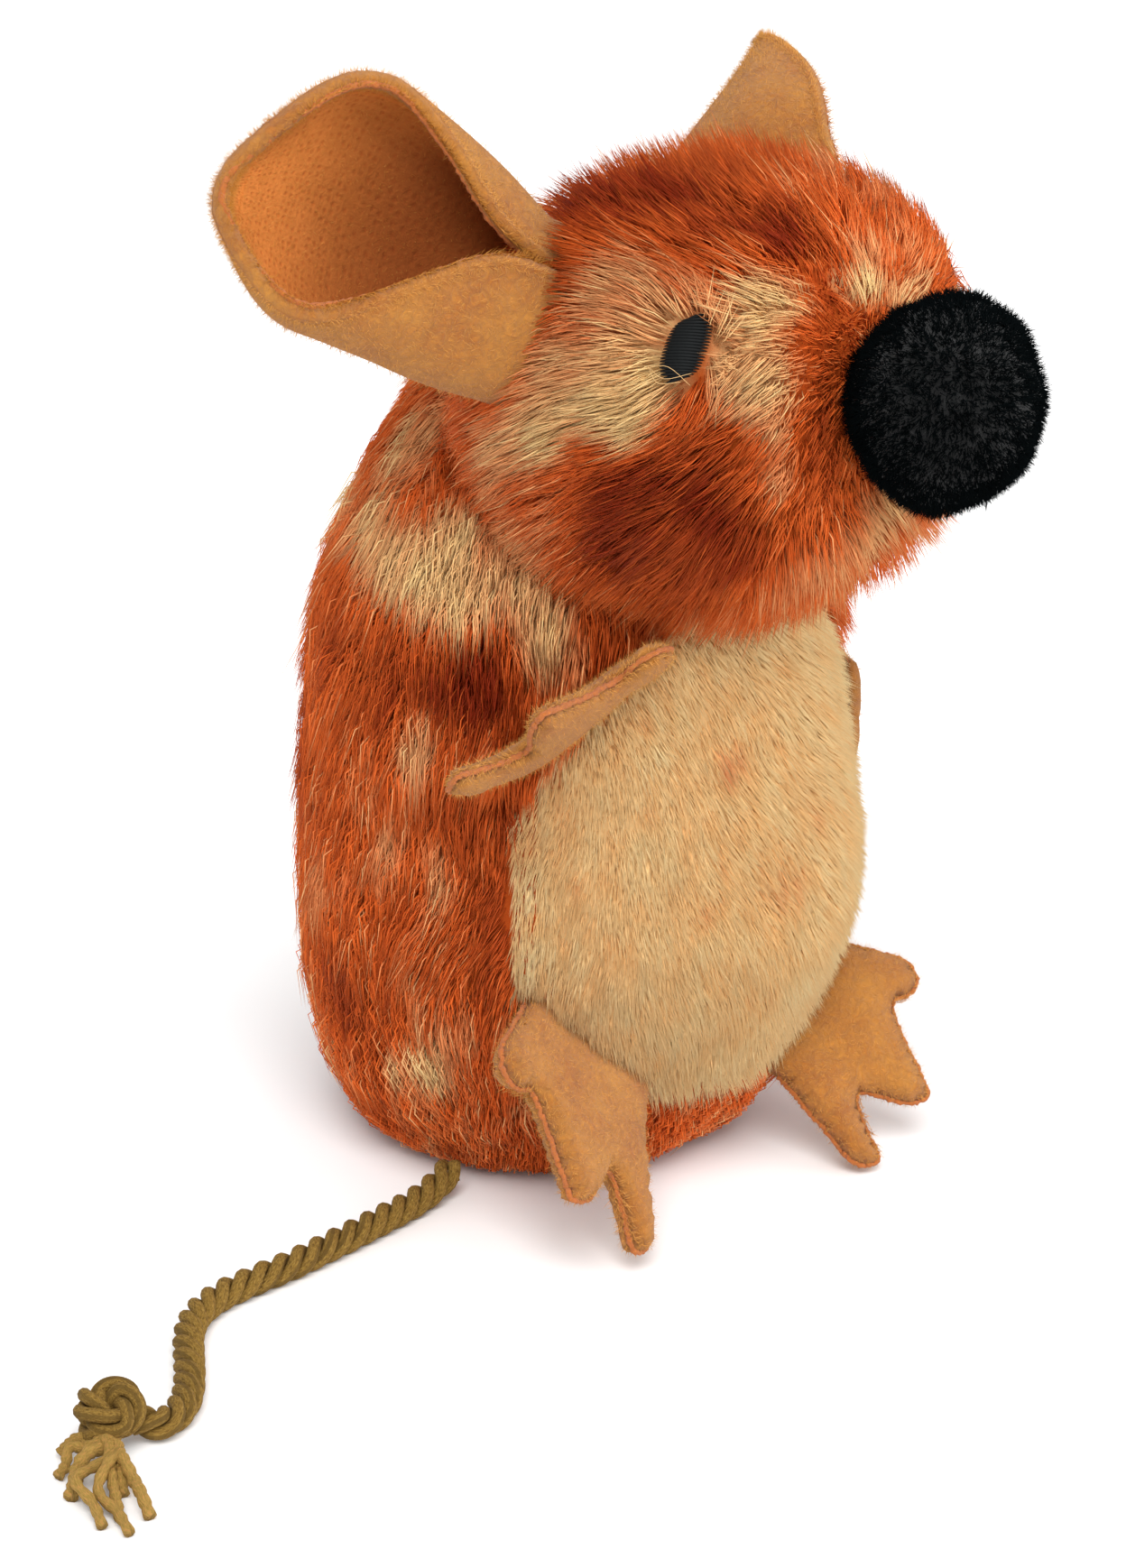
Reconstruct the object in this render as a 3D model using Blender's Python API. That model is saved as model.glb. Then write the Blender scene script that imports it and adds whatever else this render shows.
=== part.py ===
"""A sitting plush mouse toy for cats, sewn from fur cloth, short plush and felt.

Metres, +Z up. The mouse faces -Y, its right side is at -X, and it sits on z = 0.
The origin lies on the flat base panel, under the middle of the belly.
"""
import math

import bmesh
import bpy
import numpy as np
from mathutils import Matrix, Vector
from mathutils.bvhtree import BVHTree

# Driving dimensions
FUR_CLOTH = 0.0020  # the body's cloth with the roots of its pile
EAR_FELT = 0.0009  # one layer
PAW_FELT = 0.0012
NOSE_PLUSH = 0.0015
GAP = 0.0003  # between neighbours
KERF = GAP / 2  # what each of two neighbours gives at a seam
BODY_SEGMENTS = 32
HEAD_SEGMENTS = 30

# The body's outline, turned about its upright axis: radius, height
BODY_OUTLINE = [
    (0.0185, 0.0),
    (0.0222, 0.0030),
    (0.0253, 0.0100),
    (0.0278, 0.0200),
    (0.0290, 0.0310),
    (0.0286, 0.0440),
    (0.0278, 0.0560),
    (0.0258, 0.0670),
    (0.0230, 0.0750),
    (0.0195, 0.0830),
    (0.0150, 0.0890),
    (0.0090, 0.0925),
]
BODY_TOP = 0.0935
BODY_ROWS = 14
BELLY_BULGE = 0.0032  # the belly stands this far proud of the turned outline
BELLY_HEIGHT = 0.032
BELLY_SPREAD = 0.024
BASE_BACK = 0.005  # the base sits this far behind the body's axis
LEAN_HEIGHT = 0.030  # above this the body's axis is upright
BASE_RADIUS = 0.0170
BASE_HEIGHT = 0.0060  # the base panel's cutter reaches this high

# The belly panel's edge: half width, height
BELLY_OUTLINE = [
    (0.0, 0.0125),
    (0.0075, 0.0132),
    (0.0138, 0.0158),
    (0.0180, 0.0195),
    (0.0215, 0.0240),
    (0.0243, 0.0300),
    (0.0249, 0.0370),
    (0.0243, 0.0440),
    (0.0226, 0.0515),
    (0.0185, 0.0585),
    (0.0125, 0.0650),
    (0.0080, 0.0700),
    (0.0060, 0.0780),
]

# The head's outline, turned about its nose axis: radius, distance forward of the body's axis
HEAD_OUTLINE = [
    (0.0075, -0.0022),
    (0.0150, 0.0005),
    (0.0203, 0.0050),
    (0.0226, 0.0120),
    (0.0230, 0.0200),
    (0.0218, 0.0280),
    (0.0190, 0.0350),
    (0.0152, 0.0400),
    (0.0100, 0.0425),
]
HEAD_BACK = -0.0030
HEAD_FRONT = 0.0430
HEAD_ROWS = 11
HEAD_HEIGHT = 0.0905
HEAD_MIDDLE = 0.022
HEAD_RISE = 0.17  # the nose axis climbs forward
HEAD_WIDTH = 1.04
CROWN_SQUARENESS = 2.5  # 2 would be round

# The forehead gusset's edge, seen from above: half width, distance forward
GUSSET_OUTLINE = [
    (0.0105, -0.0200),
    (0.0135, 0.0000),
    (0.0125, 0.0120),
    (0.0090, 0.0260),
    (0.0050, 0.0360),
    (0.0040, 0.0600),
]

# Nose
NOSE_RADIUS = 0.0098
NOSE_DEPTH = 0.94  # of the radius, along the nose axis
NOSE_FORWARD = 0.0512
NOSE_HEIGHT = 0.0958

# Eyes: distance forward, angle down from the crown, size
EYE_FORWARD = 0.0332
EYE_ANGLE = 62.0
EYE_LENGTH = 0.0070
EYE_WIDTH = 0.0045
EYE_THICKNESS = 0.0022
EYE_SLANT = 20.0

# Ears
EAR_LENGTH = 0.0332
EAR_SINK = 0.30  # of its length, the most that the sheet runs on below its root
EAR_TRIM_FROM = 0.60  # of its length, a place that is surely clear of the head
EAR_TRIM_STEP = 0.01
EAR_CLEARANCE = 0.0015
EAR_COLUMNS = 14
EAR_ROWS = 9
TIP_STRAIGHTNESS = 1.2
# How the ear's broad base is folded together and opens towards the tip. Each row is a place
# along the ear and there its reach up, reach down, upper fold, lower fold, depth and rim height.
EAR_STATIONS = [
    (0.00, 0.0100, 0.0093, 0.0050, 0.0125, 0.0040, 0.0074),
    (0.20, 0.0136, 0.0097, 0.0060, 0.0122, 0.0062, 0.0072),
    (0.40, 0.0158, 0.0093, 0.0028, 0.0073, 0.0068, 0.0064),
    (0.60, 0.0172, 0.0093, 0.0004, 0.0023, 0.0060, 0.0042),
    (0.80, 0.0150, 0.0092, 0.0, 0.0, 0.0036, 0.0030),
    (0.92, 0.0108, 0.0070, 0.0, 0.0, 0.0018, 0.0020),
    (1.00, 0.0055, 0.0025, 0.0, 0.0, 0.0004, 0.0010),
]
# Where each ear is sewn on, its directions, and how its section differs: the share of the folds,
# how far it is squeezed together and how far it is deepened
EARS = {
    "right": {
        "angle": 56.0, "forward": 0.0088, "out": (-0.82, 0.354, 0.45),
        "facing": (-0.225, -0.922, 0.315), "fold": 1.0, "squeeze": 1.0, "deepen": 1.0,
    },
    "left": {
        "angle": 88.5, "forward": 0.0080, "out": (0.460, 0.400, 0.790),
        "facing": (0.682, -0.731, 0.0), "fold": 0.3, "squeeze": 0.62, "deepen": 1.6,
    },
}

# Paws: outline in the paw's own plane, distance out of the seam, distance along it
PAW_OUTLINE = [
    (-0.0030, -0.0089),
    (0.0000, -0.0089),
    (0.0045, -0.0095),
    (0.0086, -0.0098),
    (0.0101, -0.0086),
    (0.0100, -0.0066),
    (0.0085, -0.0049),
    (0.0104, -0.0020),
    (0.0142, 0.0014),
    (0.0160, 0.0036),
    (0.0152, 0.0046),
    (0.0086, 0.0070),
    (0.0112, 0.0108),
    (0.0133, 0.0134),
    (0.0125, 0.0142),
    (0.0054, 0.0118),
    (0.0000, 0.0089),
    (-0.0030, 0.0080),
]
PAW_CLEARANCE = 0.0010

# Where each paw leaves the belly seam: the angle from the front towards the mouse's right and
# the height, then the paw's directions along the seam and out of it, and its size
PAWS = {
    "hand_right": {
        "angle": 45.5, "height": 0.0600, "lift": 0.0, "size": 1.1,
        "along": (-0.72, 0.45, -0.53), "out": (-0.755, -0.622, 0.207),
    },
    "hand_left": {
        "angle": -64.0, "height": 0.0420, "lift": 0.0006, "size": 1.1,
        "along": (-0.05, 0.0, -1.0), "out": (0.47, 0.881, -0.06),
    },
    "foot_right": {
        "angle": 43.0, "height": 0.0196, "lift": 0.0, "size": 1.12,
        "along": (0.49, -0.36, -0.79), "out": (-0.836, -0.455, -0.315),
    },
    "foot_left": {
        "angle": -31.0, "height": 0.0150, "lift": 0.0, "size": 1.0,
        "along": (-0.74, -0.20, -0.645), "out": (0.47, -0.78, -0.41),
    },
}

# Tail
CORD_DIAMETER = 0.0034
CORD_LIFT = CORD_DIAMETER / 2
TAIL_ROUTE = [
    (-0.0238, -0.0036, 0.0030),
    (-0.0262, -0.0041, 0.0023),
    (-0.0300, -0.0046, CORD_LIFT),
    (-0.0345, -0.0050, CORD_LIFT),
    (-0.0395, -0.0053, CORD_LIFT),
    (-0.0450, -0.0055, CORD_LIFT),
    (-0.0505, -0.0056, CORD_LIFT),
    (-0.0560, -0.0053, CORD_LIFT),
    (-0.0605, -0.0053, CORD_LIFT),
    (-0.0645, -0.0063, CORD_LIFT),
    (-0.0680, -0.0085, CORD_LIFT),
    (-0.0710, -0.0115, CORD_LIFT),
    (-0.0740, -0.0148, CORD_LIFT),
    (-0.0772, -0.0180, CORD_LIFT),
    (-0.0808, -0.0205, CORD_LIFT),
    (-0.0842, -0.0212, 0.0019),
    (-0.0862, -0.0197, 0.0026),
]
CORD_POINTS = 26
KNOT_RADIUS = 0.0037
KNOT_CENTRE = (-0.0884, -0.0186, 0.0037)
FRAY_LENGTH = 0.0150
FRAY_TURN = 48.0  # the ends fan out this far forward of straight right
FRAY_OUTLINE = [(0.0034, 0.0), (0.0022, 0.0045), (0.0034, 0.0100), (0.0054, 0.0150), (0.0052, 0.0178)]
FRAY_FLATNESS = 0.45

# Filling
CATNIP_RADIUS = 0.0080
CATNIP_LENGTH = 0.0260
CATNIP_HEIGHT = 0.0400

COLOURS = {
    "fur": (0.44, 0.10, 0.03),
    "plush": (0.74, 0.47, 0.22),
    "nose": (0.01, 0.012, 0.014),
    "felt": (0.62, 0.29, 0.09),
    "lining": (0.60, 0.24, 0.06),
    "cord": (0.39, 0.22, 0.09),
    "filling": (0.85, 0.85, 0.82),
    "catnip": (0.30, 0.36, 0.16),
}
ROUGHNESS = {"nose": 0.8, "cord": 0.85}
PLAIN_ROUGHNESS = 0.9


def clear_scene():
    for thing in list(bpy.data.objects):
        bpy.data.objects.remove(thing, do_unlink=True)


def finish_material(name, finish):
    """A material of the part's own, with its finish's colour and roughness."""
    material = bpy.data.materials.new(name)
    material.use_nodes = True
    shader = material.node_tree.nodes["Principled BSDF"]
    shader.inputs["Base Color"].default_value = (*COLOURS[finish], 1.0)
    shader.inputs["Roughness"].default_value = ROUGHNESS.get(finish, PLAIN_ROUGHNESS)
    shader.inputs["Metallic"].default_value = 0.0
    return material


def add_object(name, data, finish):
    thing = bpy.data.objects.new(name, data)
    bpy.context.scene.collection.objects.link(thing)
    data.materials.append(finish_material(name, finish))
    return thing


def add_mesh(name, bm, finish):
    bm.normal_update()
    bmesh.ops.recalc_face_normals(bm, faces=bm.faces)
    data = bpy.data.meshes.new(name)
    bm.to_mesh(data)
    bm.free()
    data.shade_smooth()
    data.set_sharp_from_angle(angle=math.radians(40))
    return add_object(name, data, finish)


def hide_cutter(thing):
    thing.hide_render = True
    thing.display_type = "WIRE"
    return thing


def smooth_path(points, count):
    """Evenly spaced points on a smooth curve through the given ones."""
    knots = np.array(points, dtype=float)
    steps = np.linalg.norm(np.diff(knots, axis=0), axis=1)
    at = np.concatenate([[0.0], np.cumsum(steps)])
    slopes = np.gradient(knots, at, axis=0)
    fine = np.linspace(0.0, at[-1], count)
    cell = np.clip(np.searchsorted(at, fine, side="right") - 1, 0, len(at) - 2)
    width = (at[cell + 1] - at[cell])[:, None]
    t = (fine - at[cell])[:, None] / width
    start = (2 * t**3 - 3 * t**2 + 1) * knots[cell] + (t**3 - 2 * t**2 + t) * width * slopes[cell]
    end = (3 * t**2 - 2 * t**3) * knots[cell + 1] + (t**3 - t**2) * width * slopes[cell + 1]
    return start + end


def shrink_outline(outline, depth):
    """The outline of a turned shape, moved inwards by depth along its normals."""
    tangent = np.gradient(outline, axis=0)
    tangent /= np.linalg.norm(tangent, axis=1)[:, None]
    normal = np.stack([tangent[:, 1], -tangent[:, 0]], axis=1)
    return outline - normal * depth


def turned_shape(outline, first, last, segments):
    """A closed shape turned about Z, from its first pole to its last."""
    bm = bmesh.new()
    points = [(0.0, first)] + [tuple(p) for p in outline] + [(0.0, last)]
    verts = [bm.verts.new((radius, 0.0, height)) for radius, height in points]
    edges = [bm.edges.new(pair) for pair in zip(verts, verts[1:])]
    bmesh.ops.spin(
        bm, geom=verts + edges, cent=(0, 0, 0), axis=(0, 0, 1), angle=math.tau, steps=segments, use_merge=True
    )
    bmesh.ops.remove_doubles(bm, verts=bm.verts, dist=1e-6)
    return bm


def place_body(point):
    """Rounds the belly out, and leans the lower body back over its base."""
    radius = math.hypot(point.x, point.y)
    front = max(0.0, -point.y / radius) if radius > 0.0 else 0.0
    level = math.exp(-(((point.z - BELLY_HEIGHT) / BELLY_SPREAD) ** 2))
    grow = 1.0 + BELLY_BULGE * level * front**0.7 / max(radius, BASE_RADIUS)
    lean = max(0.0, 1.0 - point.z / LEAN_HEIGHT)
    return Vector((point.x * grow, point.y * grow + BASE_BACK * lean, point.z))


def place_head(point):
    """Turns a shape about Z to the nose axis, and squares the crown."""
    side, up, forward = point.x, point.y, point.z
    radius = math.hypot(side, up)
    if up > 0.0 and radius > 0.0:
        power = CROWN_SQUARENESS
        spread = (abs(side / radius) ** power + abs(up / radius) ** power) ** (-1.0 / power)
        side *= spread
        up *= spread
    rise = (forward - HEAD_MIDDLE) * HEAD_RISE
    return Vector((side * HEAD_WIDTH, -forward, HEAD_HEIGHT + up + rise))


def body_solid(name, depth, finish="fur"):
    """The body's outer shape, moved in by depth."""
    outline = shrink_outline(smooth_path(BODY_OUTLINE, BODY_ROWS), depth)
    bm = turned_shape(outline, depth, BODY_TOP - depth, BODY_SEGMENTS)
    for vert in bm.verts:
        vert.co = place_body(vert.co)
        vert.co.z = max(vert.co.z, depth)
    return add_mesh(name, bm, finish)


def head_solid(name, depth, finish="fur"):
    """The head's outer shape, moved in by depth."""
    outline = shrink_outline(smooth_path(HEAD_OUTLINE, HEAD_ROWS), depth)
    bm = turned_shape(outline, HEAD_BACK + depth, HEAD_FRONT - depth, HEAD_SEGMENTS)
    for vert in bm.verts:
        vert.co = place_head(vert.co)
    return add_mesh(name, bm, finish)


def prism(name, outline, place, low, high):
    """A cutter: a flat outline, placed at two depths and joined."""
    bm = bmesh.new()
    corners = [bm.verts.new(place(a, b, low)) for a, b in outline]
    face = bm.faces.new(corners)
    pushed = bmesh.ops.extrude_face_region(bm, geom=[face])
    moved = [item for item in pushed["geom"] if isinstance(item, bmesh.types.BMVert)]
    shift = Vector(place(0.0, 0.0, high)) - Vector(place(0.0, 0.0, low))
    bmesh.ops.translate(bm, verts=moved, vec=shift)
    return hide_cutter(add_mesh(name, bm, "filling"))


def grown_both_sides(outline, growth):
    """An outline of half widths, mirrored into a closed loop and grown."""
    half = smooth_path(outline, 2 * len(outline))
    tangent = np.gradient(half, axis=0)
    tangent /= np.linalg.norm(tangent, axis=1)[:, None]
    half = half + np.stack([tangent[:, 1], -tangent[:, 0]], axis=1) * growth
    half = half[half[:, 0] > 0.001]
    return [tuple(p) for p in half] + [(-p[0], p[1]) for p in half[::-1]]


def cut(thing, cutter, operation="DIFFERENCE"):
    step = thing.modifiers.new(cutter.name, "BOOLEAN")
    step.operation = operation
    step.object = cutter
    step.solver = "EXACT"


def half_space(name, side):
    """A cutter that covers one side of the mouse, and reaches over its middle plane by the kerf."""
    bm = bmesh.new()
    bmesh.ops.create_cube(bm, size=0.3)
    bmesh.ops.translate(bm, verts=bm.verts, vec=(side * (0.15 - KERF), 0.0, 0.05))
    return hide_cutter(add_mesh(name, bm, "filling"))


def make_cutters():
    """Shapes that part the panels along their seams."""
    cutters = {
        "body_core": hide_cutter(body_solid("body_core", FUR_CLOTH)),
        "head_core": hide_cutter(head_solid("head_core", FUR_CLOTH)),
        "head_space": hide_cutter(head_solid("head_space", -GAP)),
        "body_paw_space": hide_cutter(body_solid("body_paw_space", -PAW_CLEARANCE)),
        "right_side": half_space("right_side", -1),
        "left_side": half_space("left_side", 1),
    }
    for name, growth in (("belly_piece", -KERF), ("belly_space", KERF)):
        outline = grown_both_sides(BELLY_OUTLINE, growth)
        cutters[name] = prism(name, outline, lambda side, up, depth: (side, -depth, up), 0.002, 0.060)
    for name, growth in (("gusset_piece", -KERF), ("gusset_space", KERF)):
        outline = grown_both_sides(GUSSET_OUTLINE, growth)
        cutters[name] = prism(name, outline, lambda side, out, up: (side, -out, up), HEAD_HEIGHT, 0.140)
    for name, growth in (("base_piece", -KERF), ("base_space", KERF)):
        bm = bmesh.new()
        bmesh.ops.create_cone(
            bm, cap_ends=True, segments=40, radius1=BASE_RADIUS + growth, radius2=BASE_RADIUS + growth,
            depth=2 * BASE_HEIGHT,
        )
        bmesh.ops.translate(bm, verts=bm.verts, vec=(0.0, BASE_BACK, 0.0))
        cutters[name] = hide_cutter(add_mesh(name, bm, "filling"))
    return cutters


def make_body(cutters):
    for side, other in (("right", "left_side"), ("left", "right_side")):
        panel = body_solid("back_panel_" + side, 0.0)
        for name in ("body_core", "head_space", "belly_space", "base_space", other):
            cut(panel, cutters[name])
    belly = body_solid("belly_panel", 0.0, "plush")
    cut(belly, cutters["body_core"])
    cut(belly, cutters["head_space"])
    cut(belly, cutters["belly_piece"], "INTERSECT")
    base = body_solid("base_panel", 0.0)
    cut(base, cutters["body_core"])
    cut(base, cutters["base_piece"], "INTERSECT")


def make_filling(cutters):
    filling = body_solid("body_filling", FUR_CLOTH + GAP, "filling")
    bm = bmesh.new()
    bmesh.ops.create_cone(
        bm, cap_ends=True, segments=20, radius1=CATNIP_RADIUS + GAP, radius2=CATNIP_RADIUS + GAP, depth=0.080
    )
    bmesh.ops.translate(bm, verts=bm.verts, vec=(0.0, 0.0, CATNIP_HEIGHT - GAP + 0.040))
    pocket = hide_cutter(add_mesh("catnip_pocket", bm, "filling"))
    cut(filling, pocket)
    cut(filling, head_space_for_filling())

    bm = bmesh.new()
    bmesh.ops.create_cone(
        bm, cap_ends=True, segments=20, radius1=CATNIP_RADIUS, radius2=CATNIP_RADIUS, depth=CATNIP_LENGTH
    )
    rims = [edge for edge in bm.edges if abs(edge.verts[0].co.z - edge.verts[1].co.z) < 1e-6]
    bmesh.ops.bevel(
        bm, geom=rims, offset=0.002, segments=2, profile=0.5, affect="EDGES", material=-1, clamp_overlap=True
    )
    bmesh.ops.translate(bm, verts=bm.verts, vec=(0.0, 0.0, CATNIP_HEIGHT + CATNIP_LENGTH / 2))
    sachet = add_mesh("catnip_sachet", bm, "catnip")
    cut(sachet, cutters["head_space"])
    head_solid("head_filling", FUR_CLOTH + GAP, "filling")


def head_space_for_filling():
    return hide_cutter(head_solid("filling_head_space", -GAP))


def make_head(cutters):
    for side, other in (("right", "left_side"), ("left", "right_side")):
        cheek = head_solid("cheek_" + side, 0.0)
        for name in ("head_core", "gusset_space", other):
            cut(cheek, cutters[name])
    gusset = head_solid("forehead_gusset", 0.0)
    cut(gusset, cutters["head_core"])
    cut(gusset, cutters["gusset_piece"], "INTERSECT")


def nose_solid(name, radius, finish):
    bm = bmesh.new()
    bmesh.ops.create_uvsphere(bm, u_segments=20, v_segments=12, radius=radius)
    for vert in bm.verts:
        vert.co = Vector((vert.co.x, -vert.co.z * NOSE_DEPTH - NOSE_FORWARD, NOSE_HEIGHT + vert.co.y))
    return add_mesh(name, bm, finish)


def make_nose(cutters):
    core = hide_cutter(nose_solid("nose_core", NOSE_RADIUS - NOSE_PLUSH, "nose"))
    opening = hide_cutter(nose_opening())
    cover = nose_solid("nose_cover", NOSE_RADIUS, "nose")
    filling = nose_solid("nose_filling", NOSE_RADIUS - NOSE_PLUSH - GAP, "filling")
    cut(cover, core)
    cut(cover, opening)
    cut(cover, cutters["head_space"])
    cut(filling, cutters["head_space"])


def nose_opening():
    """A short plug where the ball's cover is gathered open against the muzzle."""
    bm = bmesh.new()
    bmesh.ops.create_cone(bm, cap_ends=True, segments=20, radius1=0.0050, radius2=0.0050, depth=0.008)
    turn = Matrix.Rotation(math.radians(90), 4, "X")
    bmesh.ops.transform(bm, matrix=turn, verts=bm.verts)
    bmesh.ops.translate(bm, verts=bm.verts, vec=(0.0, -HEAD_FRONT, NOSE_HEIGHT))
    return add_mesh("nose_opening", bm, "filling")


def head_point(side, angle, forward):
    """A point on the head's skin and the direction out of it; side is -1 for the mouse's right."""
    outline = smooth_path(HEAD_OUTLINE, 200)
    radius = float(np.interp(forward, outline[:, 1], outline[:, 0]))
    ahead = float(np.interp(forward + 0.0005, outline[:, 1], outline[:, 0]))
    turn = math.radians(angle)
    point = place_head(Vector((side * radius * math.sin(turn), radius * math.cos(turn), forward)))
    slope = (ahead - radius) / 0.0005
    outward = Vector((side * math.sin(turn), slope, math.cos(turn))).normalized()
    return point, outward


def make_eye(name, side, cutters):
    """A padded oval of black thread, slanted, with its back cut to the cheek."""
    point, outward = head_point(side, EYE_ANGLE, EYE_FORWARD)
    bm = bmesh.new()
    bmesh.ops.create_uvsphere(bm, u_segments=14, v_segments=8, radius=1.0)
    bmesh.ops.scale(bm, verts=bm.verts, vec=(EYE_WIDTH / 2, EYE_LENGTH / 2, EYE_THICKNESS / 2))
    up = Vector((0, 0, 1)) - outward * outward.z
    up.normalize()
    up.rotate(Matrix.Rotation(math.radians(side * EYE_SLANT), 3, outward))
    across = up.cross(outward)
    turn = Matrix((across, up, outward)).transposed().to_4x4()
    bmesh.ops.transform(bm, matrix=Matrix.Translation(point) @ turn, verts=bm.verts)
    eye = add_mesh(name, bm, "nose")
    cut(eye, cutters["head_space"])


def ear_frame(word):
    """The ear's root on the head, and its directions: out, down across and the way that it faces."""
    spec = EARS[word]
    side = -1.0 if word == "right" else 1.0
    point, _ = head_point(side, spec["angle"], spec["forward"])
    out = Vector(spec["out"]).normalized()
    facing = Vector(spec["facing"])
    facing = (facing - out * facing.dot(out)).normalized()
    across = facing.cross(out) * -side
    return point, out, across.normalized(), facing


def ear_section(place, fold):
    """The ear's middle line, cut across at one place: (down across, forward) from rim to rim."""
    table = np.array(EAR_STATIONS)
    row = [float(np.interp(place, table[:, 0], table[:, k])) for k in range(1, table.shape[1])]
    up, down, upper_fold, lower_fold, depth, rim = row
    upper_fold *= fold
    lower_fold *= fold
    points = [
        (-up + upper_fold, 0.75 * rim),
        (-up + 0.15 * upper_fold, 0.42 * rim),
        (-0.93 * up, -0.2 * depth),
        (-0.55 * up, -0.75 * depth),
        (0.0, -depth),
        (0.55 * down, -0.75 * depth),
        (0.95 * down, -0.1 * depth),
        (down - 0.1 * lower_fold, 0.4 * rim),
        (down - 0.45 * lower_fold, 0.8 * rim),
        (down - lower_fold, rim),
    ]
    return smooth_path(points, EAR_COLUMNS + 1)


def ear_point(frame, spec, column, place):
    """A point of the ear's middle surface; below place 0 the sheet runs straight on, inwards."""
    root, out, across, facing = frame
    down, forward = ear_section(max(place, 0.0), spec["fold"])[column]
    reach = out * (EAR_LENGTH * place)
    return root + reach + across * (down * spec["squeeze"]) + facing * (forward * spec["deepen"])


def is_clear(point, trees, distance):
    """Whether a point lies outside closed shapes by a distance."""
    for tree in trees:
        near, normal, _, gap = tree.find_nearest(point)
        if gap < distance or (point - near).dot(normal) < 0.0:
            return False
    return True


def ear_middle(word, trees):
    """The ear's middle surface, rows from root to tip and columns from rim to rim.

    Each column starts where it comes clear of the head and the body."""
    spec = EARS[word]
    frame = ear_frame(word)
    clearance = EAR_CLEARANCE + KERF + EAR_FELT
    columns = []
    for column in range(EAR_COLUMNS + 1):
        start = EAR_TRIM_FROM
        while start > -EAR_SINK and is_clear(ear_point(frame, spec, column, start), trees, clearance):
            start -= EAR_TRIM_STEP
        start += EAR_TRIM_STEP
        steps = (np.arange(EAR_ROWS) / (EAR_ROWS - 1)) ** 0.75
        places = start + (1.0 - start) * steps
        columns.append([list(ear_point(frame, spec, column, place)) for place in places])
    return np.array(columns).transpose(1, 0, 2)


def felt_layer(name, middle, near, far, finish):
    """A closed layer of felt that follows a surface, from one distance off it to another."""
    normal = np.cross(np.gradient(middle, axis=1), np.gradient(middle, axis=0))
    normal /= np.linalg.norm(normal, axis=2)[:, :, None]
    # Towards the tip the layers are stacked straight, so that the inner one doesn't cross itself
    straight = normal[-1].mean(axis=0)
    place = np.linspace(0.0, 1.0, len(middle))[:, None, None]
    normal += straight * place**2 * TIP_STRAIGHTNESS
    normal /= np.linalg.norm(normal, axis=2)[:, :, None]
    bm = bmesh.new()
    sides = []
    for distance in (near, far):
        points = middle + normal * distance
        sides.append([[bm.verts.new(point) for point in row] for row in points])
    rows, columns = middle.shape[:2]
    for side in sides:
        for i in range(rows - 1):
            for j in range(columns - 1):
                bm.faces.new((side[i][j], side[i][j + 1], side[i + 1][j + 1], side[i + 1][j]))
    rim = [(0, j) for j in range(columns)]
    rim += [(i, columns - 1) for i in range(1, rows)]
    rim += [(rows - 1, j) for j in range(columns - 2, -1, -1)]
    rim += [(i, 0) for i in range(rows - 2, 0, -1)]
    for (i, j), (k, m) in zip(rim, rim[1:] + rim[:1]):
        bm.faces.new((sides[0][i][j], sides[0][k][m], sides[1][k][m], sides[1][i][j]))
    return add_mesh(name, bm, finish)


def make_ears(cutters):
    """Two felt layers each, one on each side of the ear's middle surface."""
    trees = []
    for name in ("head_space", "body_paw_space"):
        bm = bmesh.new()
        bm.from_mesh(cutters[name].data)
        trees.append(BVHTree.FromBMesh(bm))
        bm.free()
    for side, word in ((-1, "right"), (1, "left")):
        middle = ear_middle(word, trees)
        near = side * KERF
        far = side * (KERF + EAR_FELT)
        felt_layer(f"ear_{word}_lining", middle, near, far, "lining")
        felt_layer(f"ear_{word}_back", middle, -near, -far, "felt")


def body_point(angle, height):
    """A point on the body's skin; the angle runs from the front towards the mouse's right."""
    outline = smooth_path(BODY_OUTLINE, 300)
    radius = float(np.interp(height, outline[:, 1], outline[:, 0]))
    turn = math.radians(angle)
    return place_body(Vector((-radius * math.sin(turn), -radius * math.cos(turn), height)))


def paw_frame(paw):
    """A paw's root on the body, the direction out of the seam and the direction along it."""
    spec = PAWS[paw]
    turn = math.radians(spec["angle"])
    root = body_point(spec["angle"], spec["height"])
    root += Vector((-math.sin(turn), -math.cos(turn), 0.0)) * spec["lift"]
    along = Vector(spec["along"]).normalized()
    out = Vector(spec["out"])
    out = (out - along * out.dot(along)).normalized()
    return root, out, along


def paw_layer(name, paw, offset, cutters):
    root, out, along = paw_frame(paw)
    size = PAWS[paw]["size"]
    bm = bmesh.new()
    corners = [bm.verts.new(root + out * (n * size) + along * (s * size)) for n, s in PAW_OUTLINE]
    bm.faces.new(corners)
    data = bpy.data.meshes.new(name)
    bm.to_mesh(data)
    bm.free()
    layer = add_object(name, data, "felt")
    wall = layer.modifiers.new("felt", "SOLIDIFY")
    wall.thickness = PAW_FELT
    wall.offset = offset
    cut(layer, cutters["body_paw_space"])


def make_paws(cutters):
    apart = 1.0 + GAP / PAW_FELT
    for paw in PAWS:
        paw_layer(paw + "_upper", paw, apart, cutters)
        paw_layer(paw + "_under", paw, -apart, cutters)


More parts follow.
